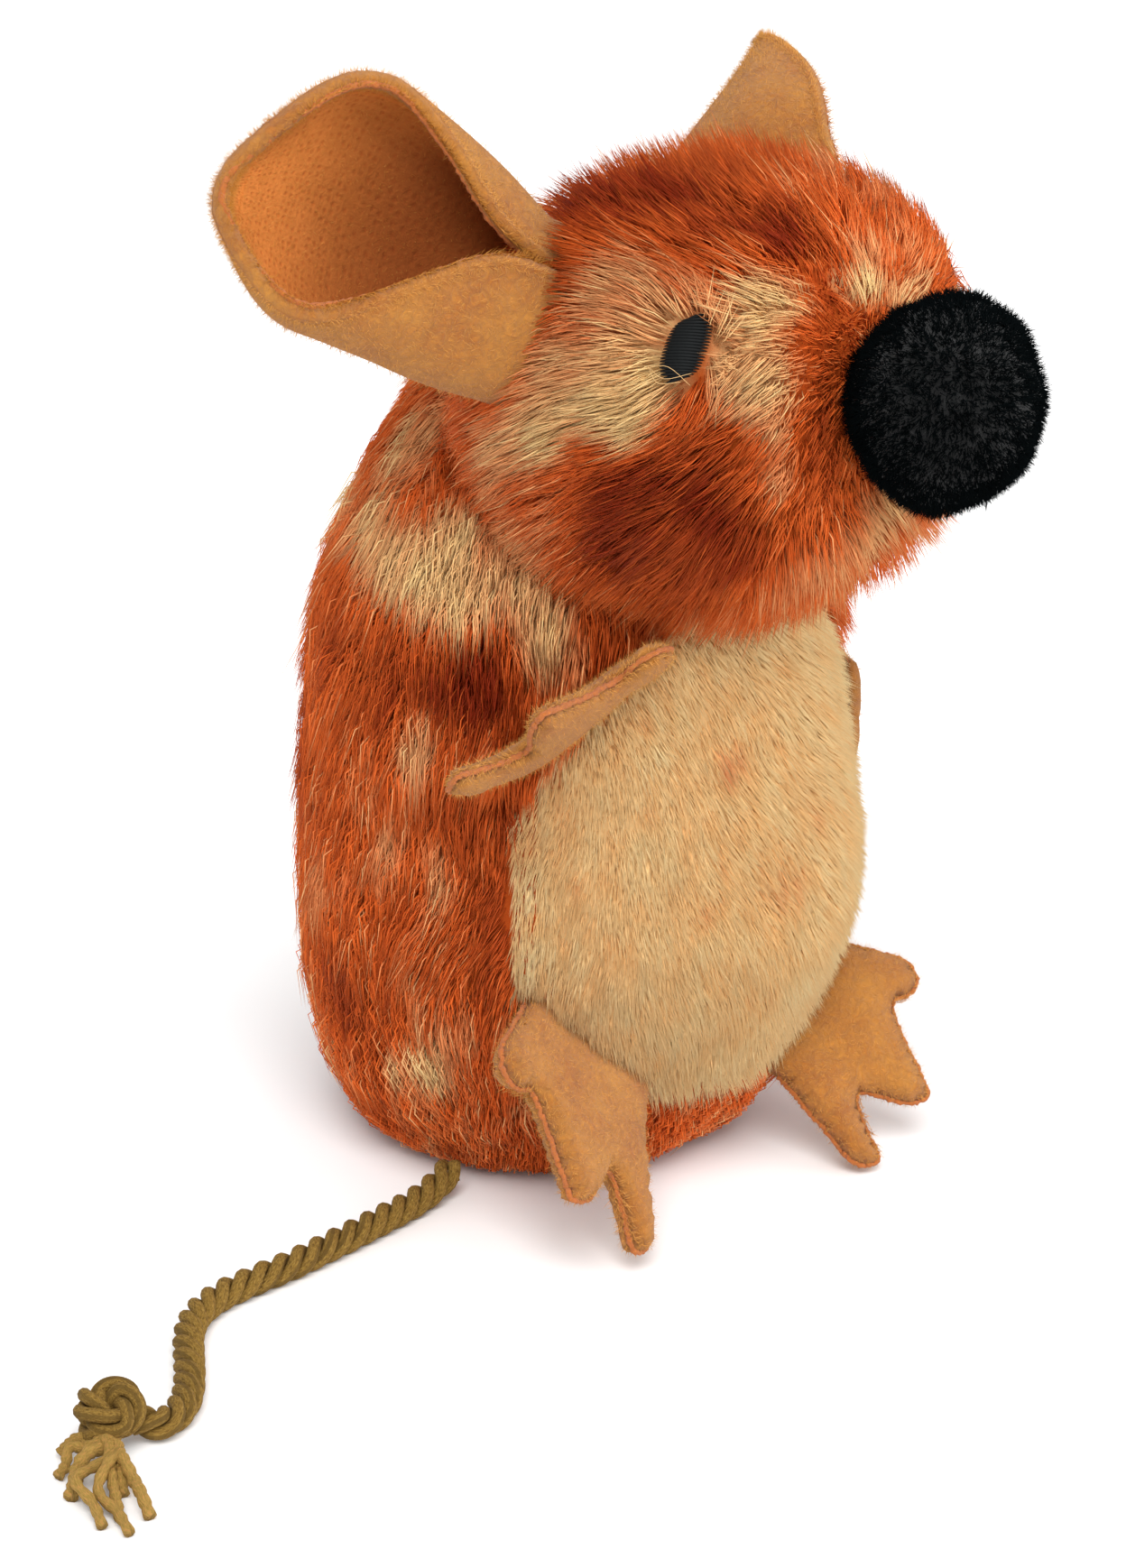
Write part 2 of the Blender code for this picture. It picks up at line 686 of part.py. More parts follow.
def make_tail():
    """The twisted cord as a plain tube, and the knot with its frayed ends."""
    curve = bpy.data.curves.new("tail_cord", "CURVE")
    curve.dimensions = "3D"
    curve.bevel_depth = CORD_DIAMETER / 2
    curve.bevel_resolution = 2
    curve.use_fill_caps = True
    line = curve.splines.new("POLY")
    route = smooth_path(TAIL_ROUTE, CORD_POINTS)
    line.points.add(len(route) - 1)
    for point, place in zip(line.points, route):
        point.co = (*place, 1.0)
    add_object("tail_cord", curve, "cord")

    bm = bmesh.new()
    bmesh.ops.create_uvsphere(bm, u_segments=16, v_segments=10, radius=KNOT_RADIUS)
    bmesh.ops.translate(bm, verts=bm.verts, vec=KNOT_CENTRE)
    knot = add_mesh("tail_knot", bm, "cord")
    bm = turned_shape(FRAY_OUTLINE, -0.001, FRAY_LENGTH + 0.004, 16)
    bmesh.ops.scale(bm, verts=bm.verts, vec=(FRAY_FLATNESS, 1.0, 1.0))
    bmesh.ops.transform(bm, matrix=Matrix.Rotation(math.radians(-90), 4, "Y"), verts=bm.verts)
    bmesh.ops.transform(bm, matrix=Matrix.Rotation(math.radians(FRAY_TURN), 4, "Z"), verts=bm.verts)
    bmesh.ops.translate(bm, verts=bm.verts, vec=(KNOT_CENTRE[0], KNOT_CENTRE[1], 0.0031))
    fray = hide_cutter(add_mesh("fray", bm, "cord"))
    cut(knot, fray, "UNION")
    end = hide_cutter(cord_end_space())
    cut(knot, end)


def cord_end_space():
    """Leaves the seam gap between the cord's end and the knot."""
    bm = bmesh.new()
    bmesh.ops.create_icosphere(bm, subdivisions=2, radius=CORD_DIAMETER / 2 + 2 * GAP)
    bmesh.ops.translate(bm, verts=bm.verts, vec=TAIL_ROUTE[-1])
    return add_mesh("cord_end_space", bm, "cord")


def main():
    clear_scene()
    cutters = make_cutters()
    make_body(cutters)
    make_filling(cutters)
    make_head(cutters)
    make_nose(cutters)
    make_eye("eye_right", -1, cutters)
    make_eye("eye_left", 1, cutters)
    make_ears(cutters)
    make_paws(cutters)
    make_tail()


main()
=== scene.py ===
"""The looks of a sitting plush mouse toy: cloth, pile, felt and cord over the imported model.

Metres, +Z up. The mouse faces -Y and its right side is at -X.
"""
import math

import bmesh
import bpy
import numpy as np
from mathutils import Matrix, Vector
from mathutils.kdtree import KDTree
from mathutils.noise import noise


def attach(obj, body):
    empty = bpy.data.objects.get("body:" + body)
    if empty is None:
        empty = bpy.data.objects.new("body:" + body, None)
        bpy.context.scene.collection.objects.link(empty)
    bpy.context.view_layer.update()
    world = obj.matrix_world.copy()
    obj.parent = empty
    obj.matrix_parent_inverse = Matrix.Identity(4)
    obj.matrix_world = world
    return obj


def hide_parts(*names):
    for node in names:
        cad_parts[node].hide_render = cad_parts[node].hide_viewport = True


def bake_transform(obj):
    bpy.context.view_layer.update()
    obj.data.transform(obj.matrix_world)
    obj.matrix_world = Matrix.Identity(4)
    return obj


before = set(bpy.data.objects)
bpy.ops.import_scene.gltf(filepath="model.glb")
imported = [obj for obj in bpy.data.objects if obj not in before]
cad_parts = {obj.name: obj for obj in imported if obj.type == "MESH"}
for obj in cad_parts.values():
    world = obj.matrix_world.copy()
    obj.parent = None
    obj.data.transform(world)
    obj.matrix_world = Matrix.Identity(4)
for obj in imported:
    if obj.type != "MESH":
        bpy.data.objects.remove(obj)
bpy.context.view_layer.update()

# The camera, from the plane that the toes and the tail lie on
CAMERA_AZIMUTH = -47.0
CAMERA_ELEVATION = 22.0
CAMERA_DISTANCE = 0.60
CAMERA_TARGET = (-0.0009, 0.0010, 0.0405)
FOCAL_MM = 173.08
SENSOR_MM = 36.0

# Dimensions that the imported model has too
GAP = 0.0003
BODY_OUTLINE = [
    (0.0185, 0.0),
    (0.0222, 0.0030),
    (0.0253, 0.0100),
    (0.0278, 0.0200),
    (0.0290, 0.0310),
    (0.0286, 0.0440),
    (0.0278, 0.0560),
    (0.0258, 0.0670),
    (0.0230, 0.0750),
    (0.0195, 0.0830),
    (0.0150, 0.0890),
    (0.0090, 0.0925),
]
BODY_TOP = 0.0935
BELLY_BULGE = 0.0032
BELLY_HEIGHT = 0.032
BELLY_SPREAD = 0.024
BASE_BACK = 0.005
LEAN_HEIGHT = 0.030
BASE_RADIUS = 0.0170
BELLY_OUTLINE = [
    (0.0, 0.0125),
    (0.0075, 0.0132),
    (0.0138, 0.0158),
    (0.0180, 0.0195),
    (0.0215, 0.0240),
    (0.0243, 0.0300),
    (0.0249, 0.0370),
    (0.0243, 0.0440),
    (0.0226, 0.0515),
    (0.0185, 0.0585),
    (0.0125, 0.0650),
    (0.0080, 0.0700),
    (0.0060, 0.0780),
]
HEAD_OUTLINE = [
    (0.0075, -0.0022),
    (0.0150, 0.0005),
    (0.0203, 0.0050),
    (0.0226, 0.0120),
    (0.0230, 0.0200),
    (0.0218, 0.0280),
    (0.0190, 0.0350),
    (0.0152, 0.0400),
    (0.0100, 0.0425),
]
HEAD_BACK = -0.0030
HEAD_FRONT = 0.0430
HEAD_HEIGHT = 0.0905
HEAD_MIDDLE = 0.022
HEAD_RISE = 0.17
HEAD_WIDTH = 1.04
CROWN_SQUARENESS = 2.5
GUSSET_OUTLINE = [
    (0.0105, -0.0200),
    (0.0135, 0.0000),
    (0.0125, 0.0120),
    (0.0090, 0.0260),
    (0.0050, 0.0360),
    (0.0040, 0.0600),
]
NOSE_RADIUS = 0.0098
NOSE_DEPTH = 0.94
NOSE_FORWARD = 0.0512
NOSE_HEIGHT = 0.0958
EYE_FORWARD = 0.0332
EYE_ANGLE = 62.0
EYE_LENGTH = 0.0070
EYE_WIDTH = 0.0045
EAR_LENGTH = 0.0332
EAR_FELT = 0.0009
EAR_STATIONS = [
    (0.00, 0.0100, 0.0093, 0.0050, 0.0125, 0.0040, 0.0074),
    (0.20, 0.0136, 0.0097, 0.0060, 0.0122, 0.0062, 0.0072),
    (0.40, 0.0158, 0.0093, 0.0028, 0.0073, 0.0068, 0.0064),
    (0.60, 0.0172, 0.0093, 0.0004, 0.0023, 0.0060, 0.0042),
    (0.80, 0.0150, 0.0092, 0.0, 0.0, 0.0036, 0.0030),
    (0.92, 0.0108, 0.0070, 0.0, 0.0, 0.0018, 0.0020),
    (1.00, 0.0055, 0.0025, 0.0, 0.0, 0.0004, 0.0010),
]
EARS = {
    "right": {
        "angle": 56.0, "forward": 0.0088, "out": (-0.82, 0.354, 0.45),
        "facing": (-0.225, -0.922, 0.315), "fold": 1.0, "squeeze": 1.0, "deepen": 1.0,
    },
    "left": {
        "angle": 88.5, "forward": 0.0080, "out": (0.460, 0.400, 0.790),
        "facing": (0.682, -0.731, 0.0), "fold": 0.3, "squeeze": 0.62, "deepen": 1.6,
    },
}
PAW_OUTLINE = [
    (-0.0030, -0.0089),
    (0.0000, -0.0089),
    (0.0045, -0.0095),
    (0.0086, -0.0098),
    (0.0101, -0.0086),
    (0.0100, -0.0066),
    (0.0085, -0.0049),
    (0.0104, -0.0020),
    (0.0142, 0.0014),
    (0.0160, 0.0036),
    (0.0152, 0.0046),
    (0.0086, 0.0070),
    (0.0112, 0.0108),
    (0.0133, 0.0134),
    (0.0125, 0.0142),
    (0.0054, 0.0118),
    (0.0000, 0.0089),
    (-0.0030, 0.0080),
]
PAW_FELT = 0.0012
PAWS = {
    "hand_right": {
        "angle": 45.5, "height": 0.0600, "lift": 0.0, "size": 1.1,
        "along": (-0.72, 0.45, -0.53), "out": (-0.755, -0.622, 0.207),
    },
    "hand_left": {
        "angle": -64.0, "height": 0.0420, "lift": 0.0006, "size": 1.1,
        "along": (-0.05, 0.0, -1.0), "out": (0.47, 0.881, -0.06),
    },
    "foot_right": {
        "angle": 43.0, "height": 0.0196, "lift": 0.0, "size": 1.12,
        "along": (0.49, -0.36, -0.79), "out": (-0.836, -0.455, -0.315),
    },
    "foot_left": {
        "angle": -31.0, "height": 0.0150, "lift": 0.0, "size": 1.0,
        "along": (-0.74, -0.20, -0.645), "out": (0.47, -0.78, -0.41),
    },
}
CORD_DIAMETER = 0.0034
CORD_LIFT = CORD_DIAMETER / 2
TAIL_ROUTE = [
    (-0.0238, -0.0036, 0.0030),
    (-0.0262, -0.0041, 0.0023),
    (-0.0300, -0.0046, CORD_LIFT),
    (-0.0345, -0.0050, CORD_LIFT),
    (-0.0395, -0.0053, CORD_LIFT),
    (-0.0450, -0.0055, CORD_LIFT),
    (-0.0505, -0.0056, CORD_LIFT),
    (-0.0560, -0.0053, CORD_LIFT),
    (-0.0605, -0.0053, CORD_LIFT),
    (-0.0645, -0.0063, CORD_LIFT),
    (-0.0680, -0.0085, CORD_LIFT),
    (-0.0710, -0.0115, CORD_LIFT),
    (-0.0740, -0.0148, CORD_LIFT),
    (-0.0772, -0.0180, CORD_LIFT),
    (-0.0808, -0.0205, CORD_LIFT),
    (-0.0842, -0.0212, 0.0019),
    (-0.0862, -0.0197, 0.0026),
]
CORD_POINTS = 26
KNOT_CENTRE = (-0.0884, -0.0186, 0.0037)

# Cloth
CLOTH_INSET = 0.0010  # the cloth starts this far inside the outline, and is blown out again
CLOTH_SWELL = 0.0020  # and may swell by this much
CLOTH_WALL = 0.0012
SEAM_WIDTH = 0.0018
BODY_TURNS = 72
BODY_RINGS = 46
HEAD_TURNS = 72
HEAD_RINGS = 34

# Pile: hairs, length, width, lift at the root and at the tip in degrees
PILES = {
    "body": {"count": 80000, "length": 0.0076, "width": 0.00015, "lift": 44.0, "settle": 8.0, "bent": True},
    "head": {"count": 52000, "length": 0.0070, "width": 0.00014, "lift": 48.0, "settle": 14.0, "bent": True},
    "belly": {"count": 40000, "length": 0.0031, "width": 0.00018, "lift": 36.0, "settle": 36.0, "bent": False},
    "nose": {"count": 23000, "length": 0.0018, "width": 0.00018, "lift": 42.0, "settle": 42.0, "bent": False},
    "felt": {"count": 3000, "length": 0.0011, "width": 0.00007, "lift": 36.0, "settle": 36.0, "bent": False},
}
BENT_PER_PIECE = 19000
STRAIGHT_PER_PIECE = 45000
LOCK_AREA = 0.0125
CLUMP_SIZE = {"body": 0.0017, "head": 0.0016, "belly": 0.0011, "nose": 0.0011, "felt": 0.0008}
CLUMPING = {"body": 0.52, "head": 0.54, "belly": 0.78, "nose": 0.75, "felt": 0.0}
TUFT = 2.6  # locks gather into tufts this much wider

# The coat's patches: place on the cloth, reach along Z, reach across, and shade.
# Shade 1 is cream, 0 is rust and -1 is dark.
PATCHES = [
    # Body
    ((-0.0190, 0.0069, 0.0834), 0.0045, 0.0050, 0.7),
    ((-0.0217, 0.0016, 0.0803), 0.0035, 0.0040, 0.3),
    ((-0.0225, 0.0100, 0.0734), 0.0040, 0.0040, 0.8),
    ((-0.0185, 0.0157, 0.0741), 0.0040, 0.0040, 0.4),
    ((-0.0233, -0.0039, 0.0760), 0.0030, 0.0040, 0.6),
    ((-0.0248, 0.0027, 0.0722), 0.0045, 0.0045, 0.9),
    ((-0.0245, -0.0050, 0.0725), 0.0050, 0.0050, 0.9),
    ((-0.0243, -0.0075, 0.0711), 0.0045, 0.0040, 0.9),
    ((-0.0265, -0.0056, 0.0661), 0.0040, 0.0020, 1.0),
    ((-0.0207, -0.0145, 0.0718), 0.0045, 0.0036, 1.0),
    ((-0.0221, -0.0157, 0.0665), 0.0040, 0.0032, 0.8),
    ((-0.0218, -0.0115, 0.0760), 0.0040, 0.0035, 0.6),
    ((-0.0209, -0.0043, 0.0814), 0.0035, 0.0040, -0.2),
    ((-0.0287, -0.0039, 0.0556), 0.0060, 0.0026, 0.9),
    ((-0.0279, -0.0047, 0.0167), 0.0035, 0.0035, 1.0),
    ((-0.0275, 0.0017, 0.0140), 0.0030, 0.0025, 0.8),
    ((-0.0264, -0.0094, 0.0623), 0.0050, 0.0060, -1.0),
    ((-0.0285, 0.0010, 0.0610), 0.0050, 0.0060, -0.6),
    ((-0.0247, 0.0125, 0.0621), 0.0060, 0.0050, -0.5),
    ((-0.0284, -0.0137, 0.0340), 0.0080, 0.0040, -0.4),
    ((-0.0260, -0.0160, 0.0480), 0.0060, 0.0030, -0.5),
    ((-0.0288, -0.0089, 0.0483), 0.0050, 0.0040, -0.4),
    ((-0.0295, 0.0020, 0.0400), 0.0090, 0.0060, 0.1),
    ((-0.0280, 0.0087, 0.0217), 0.0070, 0.0050, -0.5),
    # Head, around the eye
    ((-0.0194, -0.0257, 0.1062), 0.0035, 0.0045, 0.4),
    ((-0.0219, -0.0219, 0.1022), 0.0035, 0.0040, 0.7),
    ((-0.0234, -0.0233, 0.0971), 0.0040, 0.0045, 1.0),
    ((-0.0216, -0.0302, 0.0991), 0.0040, 0.0032, 1.0),
    ((-0.0228, -0.0277, 0.0941), 0.0030, 0.0036, 0.9),
    ((-0.0236, -0.0172, 0.0968), 0.0035, 0.0040, 0.4),
    ((-0.0242, -0.0177, 0.0912), 0.0035, 0.0042, 1.0),
    ((-0.0237, -0.0122, 0.0879), 0.0030, 0.0035, 0.7),
    ((-0.0181, -0.0295, 0.1067), 0.0030, 0.0040, 0.5),
    ((-0.0138, -0.0366, 0.1072), 0.0034, 0.0032, 0.9),
    ((-0.0105, -0.0385, 0.1078), 0.0025, 0.0030, 0.5),
    ((-0.0163, -0.0385, 0.0998), 0.0055, 0.0034, 1.0),
    ((-0.0153, -0.0405, 0.0952), 0.0030, 0.0022, 0.6),
    ((-0.0030, -0.0409, 0.1074), 0.0013, 0.0040, 1.0),
    ((0.0055, -0.0412, 0.1062), 0.0014, 0.0045, 1.0),
    ((0.0002, -0.0409, 0.0798), 0.0040, 0.0050, 0.6),
    ((-0.0060, -0.0370, 0.0780), 0.0030, 0.0040, 0.5),
    # Head, dark
    ((-0.0104, -0.0112, 0.1100), 0.0060, 0.0060, -1.0),
    ((-0.0090, -0.0163, 0.1118), 0.0035, 0.0045, -1.0),
    ((-0.0142, -0.0165, 0.1100), 0.0026, 0.0036, -0.9),
    ((-0.0130, -0.0225, 0.1112), 0.0020, 0.0032, -0.7),
    ((-0.0095, -0.0225, 0.1125), 0.0028, 0.0040, -1.0),
    ((-0.0097, -0.0280, 0.1122), 0.0024, 0.0036, -0.9),
    ((-0.0204, -0.0142, 0.1040), 0.0050, 0.0040, -0.6),
    ((-0.0055, -0.0329, 0.1122), 0.0022, 0.0045, -0.8),
    ((-0.0150, -0.0270, 0.1100), 0.0025, 0.0040, -0.3),
    ((0.0020, -0.0180, 0.1130), 0.0030, 0.0070, -0.4),
    ((0.0020, -0.0300, 0.1134), 0.0040, 0.0060, 0.1),
    ((-0.0107, -0.0426, 0.0916), 0.0050, 0.0030, -0.6),
    ((-0.0084, -0.0428, 0.0988), 0.0040, 0.0025, -0.5),
    ((-0.0211, -0.0262, 0.0817), 0.0050, 0.0060, -0.9),
    ((-0.0223, -0.0285, 0.0874), 0.0035, 0.0040, -0.8),
    ((-0.0200, -0.0326, 0.0859), 0.0050, 0.0050, -0.9),
    ((-0.0195, -0.0358, 0.0923), 0.0030, 0.0035, -0.5),
    ((-0.0161, -0.0354, 0.0817), 0.0040, 0.0050, -0.6),
    ((-0.0160, -0.0279, 0.0759), 0.0035, 0.0050, -0.3),
    ((-0.0229, -0.0180, 0.0832), 0.0040, 0.0045, 0.2),
    # The sides that the photograph doesn't show
    ((0.0205, 0.0060, 0.0790), 0.0050, 0.0060, 0.9),
    ((0.0245, -0.0060, 0.0700), 0.0060, 0.0050, 0.8),
    ((0.0275, 0.0040, 0.0560), 0.0070, 0.0040, 0.7),
    ((0.0270, 0.0070, 0.0200), 0.0050, 0.0060, 0.9),
    ((0.0080, 0.0270, 0.0620), 0.0070, 0.0050, 0.8),
    ((-0.0100, 0.0255, 0.0700), 0.0050, 0.0060, 0.9),
    ((-0.0020, 0.0290, 0.0420), 0.0080, 0.0040, 0.6),
    ((-0.0150, 0.0250, 0.0250), 0.0060, 0.0050, 0.8),
    ((0.0160, 0.0240, 0.0340), 0.0070, 0.0040, 0.7),
    ((0.0225, -0.0260, 0.0960), 0.0050, 0.0050, 0.9),
    ((0.0180, -0.0340, 0.1020), 0.0040, 0.0040, 0.8),
    ((0.0200, -0.0330, 0.0860), 0.0060, 0.0060, -0.8),
    ((0.0220, -0.0130, 0.0850), 0.0060, 0.0050, 0.5),
    ((0.0040, 0.0300, 0.0300), 0.0080, 0.0060, -0.7),
    ((0.0250, 0.0150, 0.0450), 0.0080, 0.0060, -0.7),
    ((-0.0180, 0.0220, 0.0480), 0.0080, 0.0060, -0.6),
]

# Pinches over the nose, where the forehead gusset is sewn down: shorter hair there, and painted shade in the
# dimples
PINCHES = [(-0.0088, -0.0342, 0.1111), (-0.0068, -0.0403, 0.1080)]
PINCH_REACH = 0.0021
EYE_PARTING = 0.0046  # the fur parts round an eye as far out as this
OVER_SEAM = 0.0012  # the belly's pile stands over its seam
SEEN_AT = 0.0028  # a hair's colour is that of the coat this far along it

# Details that only the looks have
FLOOR_GAP = 0.0004  # no hair is nearer to the floor
HAIR_ROOT = 0.0004  # how deep in the cloth a hair starts
# Longer, paler guard hairs: partly pale hairs of the coat, partly painted glints on the fur
GUARD_AND_GLINT_SHARE = 0.04  # of the hairs are longer and paler
BLUSHES = [(-0.0065, -0.0301, 0.0530), (-0.0016, -0.0329, 0.0385), (0.0060, -0.0322, 0.0450)]
BLUSH_REACH = 0.0026
STITCHES = 22
PAW_EDGE = 0.0006
KNOT_END = (-0.0906, -0.0202, 0.0028)
NOSE_TALL = 1.05  # its height for its width
STITCH_SLANT = 11.0
STRAYS = 3
STRAY_RADIUS = 0.000022
TIP_BULGE = 0.0012
TIP_ROUNDING = 0.0070
TIP_EASING = 45
EDGE_KNOTS = 260
LAYER_GAP = 0.00010  # between the ear's two layers of felt
EDGE_LINE = 0.00070  # the knitted layer's cut edge, which shows as a line on the rim
EAR_ACROSS = 40
EAR_ALONG = 30
EAR_ROOT = -0.16  # of its length, where the felt runs into the seam
WEAVE_ACROSS = 38.0  # stitches across the ear's knitted side
WEAVE_ALONG = 42.0
PAD_THICKNESS = 0.00170
PAD_PUFF = 0.00050
PAD_ROUNDING = 0.00110
PAD_SHARE = {"hand_right": 0.72, "hand_left": 1.0, "foot_right": 1.0, "foot_left": 1.0}
PAW_BEND = {"hand_right": -0.0034, "hand_left": 0.0, "foot_right": 0.0006, "foot_left": 0.0008}
CORD_PITCH = 0.0080
CORD_PLY = 0.00097
KNOT_ROUTE = [
    (-0.0862, -0.0197, 0.0026),
    (-0.0870, -0.0181, 0.0036),
    (-0.0887, -0.0169, 0.0047),
    (-0.0904, -0.0176, 0.0051),
    (-0.0907, -0.0196, 0.0045),
    (-0.0891, -0.0208, 0.0036),
    (-0.0873, -0.0204, 0.0046),
    (-0.0867, -0.0187, 0.0055),
    (-0.0879, -0.0172, 0.0050),
    (-0.0898, -0.0173, 0.0032),
    (-0.0905, -0.0189, 0.0024),
    (-0.0908, -0.0204, 0.0024),
]
# Where the loose yarns end on the floor
FRAYED_ENDS = [
    (-0.0934, -0.0166),
    (-0.0968, -0.0194),
    (-0.0990, -0.0236),
    (-0.1016, -0.0292),
    (-0.1006, -0.0326),
    (-0.0984, -0.0306),
    (-0.0960, -0.0326),
    (-0.0946, -0.0276),
    (-0.0928, -0.0246),
]

# Colours as they look in plain light, red, green and blue from 0 to 255
COLOURS = {
    "fur_dark": (150, 46, 8),
    "fur_rust": (232, 108, 40),
    "fur_cream": (252, 216, 152),
    "belly": (255, 230, 176),
    "belly_shadow": (255, 205, 140),
    "belly_blush": (238, 134, 86),
    "nose_root": (2, 3, 3),
    "nose_tip": (10, 14, 15),
    "felt_tan": (190, 127, 50),
    "felt_gold": (160, 92, 32),
    "felt_knit": (206, 122, 56),
    "felt_knit_dot": (170, 82, 28),
    # Painted shade for the ear's fold, not a colour of the felt
    "felt_fold_shade": (118, 52, 16),
    "yarn_end": (222, 156, 90),
    "felt_fibre": (224, 162, 88),
    "cut_edge": (206, 116, 46),
    "cord": (146, 112, 46),
    "cord_dark": (84, 58, 22),
    "cord_light": (184, 148, 74),
    "filling": (226, 224, 216),
    "herb": (112, 122, 74),
    "herb_pale": (156, 158, 112),
    "floor": (250, 250, 250),
}

SUN_STRENGTH = 2.3
COLOUR = "NodeSocketColor"
NUMBER = "NodeSocketFloat"
SKY_STRENGTH = 0.70


def plain(name):
    """A colour of the list as the linear value that a shader takes."""
    return tuple(((c / 255 + 0.055) / 1.055) ** 2.4 for c in COLOURS[name]) + (1.0,)


# Camera, light and floor


def place_camera():
    azimuth = math.radians(CAMERA_AZIMUTH)
    elevation = math.radians(CAMERA_ELEVATION)
    back = Vector((
        math.sin(azimuth) * math.cos(elevation),
        -math.cos(azimuth) * math.cos(elevation),
        math.sin(elevation),
    ))
    right = Vector((math.cos(azimuth), math.sin(azimuth), 0.0))
    up = back.cross(right)
    data = bpy.data.cameras.new("camera")
    data.sensor_fit = "HORIZONTAL"
    data.sensor_width = SENSOR_MM
    data.lens = FOCAL_MM
    data.clip_start = 0.01
    data.clip_end = 20.0
    camera = bpy.data.objects.new("camera", data)
    bpy.context.scene.collection.objects.link(camera)
    turn = Matrix((right, up, back)).transposed().to_4x4()
    camera.matrix_world = Matrix.Translation(Vector(CAMERA_TARGET) + back * CAMERA_DISTANCE) @ turn
    bpy.context.scene.camera = camera


def add_sun(name, direction, strength, softness):
    data = bpy.data.lights.new(name, "SUN")
    data.energy = strength
    data.angle = math.radians(softness)
    lamp = bpy.data.objects.new(name, data)
    bpy.context.scene.collection.objects.link(lamp)
    lamp.rotation_euler = Vector(direction).to_track_quat("Z", "Y").to_euler()


def light_studio():
    add_sun("key", (-0.55, -0.55, 0.95), SUN_STRENGTH, 35.0)
    add_sun("fill", (0.3, -0.9, 0.45), SUN_STRENGTH * 0.50, 60.0)
    world = bpy.data.worlds.new("studio")
    bpy.context.scene.world = world
    world.use_nodes = True
    tree = world.node_tree
    rays = add_node(tree, "LightPath").outputs
    seen = maths(tree, "MAXIMUM", rays["Is Camera Ray"], rays["Is Glossy Ray"])
    strength = map_range(tree, seen, 0.0, 1.0, SKY_STRENGTH, 1.0)
    set_inputs(tree, tree.nodes["Background"], {"Color": (1.0, 1.0, 1.0, 1.0), "Strength": strength})
    bpy.context.scene.view_settings.view_transform = "Standard"


def add_floor():
    bm = bmesh.new()
    bmesh.ops.create_grid(bm, x_segments=1, y_segments=1, size=3.0)
    floor = finish_mesh("floor", bm, floor_material())


# Shader nodes


def set_inputs(tree, node, inputs):
    """Gives each named input its value, or links it to the socket that feeds it."""
    for label, value in inputs.items():
        if isinstance(value, bpy.types.NodeSocket):
            tree.links.new(value, node.inputs[label])
        else:
            node.inputs[label].default_value = value


def add_node(tree, kind, inputs=None, **settings):
    node = tree.nodes.new("ShaderNode" + kind)
    for label, value in settings.items():
        setattr(node, label, value)
    set_inputs(tree, node, inputs or {})
    return node


def maths(tree, operation, *values):
    return add_node(tree, "Math", dict(enumerate(values)), operation=operation).outputs[0]


def map_range(tree, value, low, high, start=0.0, end=1.0, kind="LINEAR"):
    """A value carried from low and high over to start and end."""
    inputs = {"Value": value, "From Min": low, "From Max": high, "To Min": start, "To Max": end}
    return add_node(tree, "MapRange", inputs, interpolation_type=kind).outputs["Result"]


def mix_colours(tree, factor, first, second):
    return add_node(tree, "Mix", {"Factor": factor, "A": first, "B": second}, data_type="RGBA").outputs["Result"]


def noise_texture(tree, scale, vector=None, **inputs):
    """Noise on the object's own coordinates, or on another vector."""
    place = vector or add_node(tree, "TexCoord").outputs["Object"]
    return add_node(tree, "TexNoise", {"Vector": place, "Scale": scale, **inputs}).outputs["Fac"]


def colour_ramp(tree, value, first, last, middle=None):
    """Colours for a value; each stop is a place and a colour."""
    ramp = add_node(tree, "ValToRGB", {"Fac": value})
    stops = ramp.color_ramp.elements
    for stop, (place, colour) in zip(list(stops), (first, last)):
        stop.position = place
        stop.color = colour
    if middle:
        stops.new(middle[0]).color = middle[1]
    return ramp.outputs["Color"]


def add_bump(tree, shader, height, strength, distance):
    bump = add_node(tree, "Bump", {"Height": height, "Strength": strength, "Distance": distance})
    set_inputs(tree, shader, {"Normal": bump.outputs["Normal"]})


def new_group(name, inputs, outputs):
    """A shader group with named sockets, the sockets it is given, and its output node."""
    group = bpy.data.node_groups.new(name, "ShaderNodeTree")
    for label, kind, value in inputs:
        socket = group.interface.new_socket(label, in_out="INPUT", socket_type=kind)
        socket.default_value = value
    for label, kind in outputs:
        group.interface.new_socket(label, in_out="OUTPUT", socket_type=kind)
    return group, group.nodes.new("NodeGroupInput").outputs, group.nodes.new("NodeGroupOutput")


def use_group(tree, group, **values):
    """The outputs of a group with these values for its inputs."""
    inputs = {label.replace("_", " "): value for label, value in values.items()}
    return add_node(tree, "Group", inputs, node_tree=group).outputs


def pile_group():
    """The colour of a hair from its shade, its place along itself and its own tone."""
    group, given, out = new_group(
        "pile colour",
        [
            ("Dark", COLOUR, (0.1, 0.02, 0.01, 1.0)),
            ("Middle", COLOUR, (0.4, 0.1, 0.03, 1.0)),
            ("Light", COLOUR, (0.8, 0.6, 0.35, 1.0)),
            ("Root Shade", NUMBER, 0.45),
            ("Tone Spread", NUMBER, 0.25),
        ],
        [("Color", COLOUR)],
    )
    hair = add_node(group, "Attribute", attribute_name="hair").outputs["Color"]
    parts = add_node(group, "SeparateColor", {"Color": hair}).outputs
    darker = mix_colours(group, map_range(group, parts["Red"], 0.0, 0.5), given["Dark"], given["Middle"])
    shade = mix_colours(group, map_range(group, parts["Red"], 0.5, 1.0), darker, given["Light"])
    # Darker at the root, with a tone of its own
    along = map_range(group, parts["Green"], 0.0, 1.0, given["Root Shade"])
    own = maths(group, "SUBTRACT", parts["Blue"], 0.5)
    tone = maths(group, "MULTIPLY_ADD", own, given["Tone Spread"], 1.0)
    level = maths(group, "MULTIPLY", along, tone)
    scaled = add_node(group, "VectorMath", {0: shade, "Scale": level}, operation="SCALE")
    set_inputs(group, out, {"Color": scaled.outputs["Vector"]})
    return group


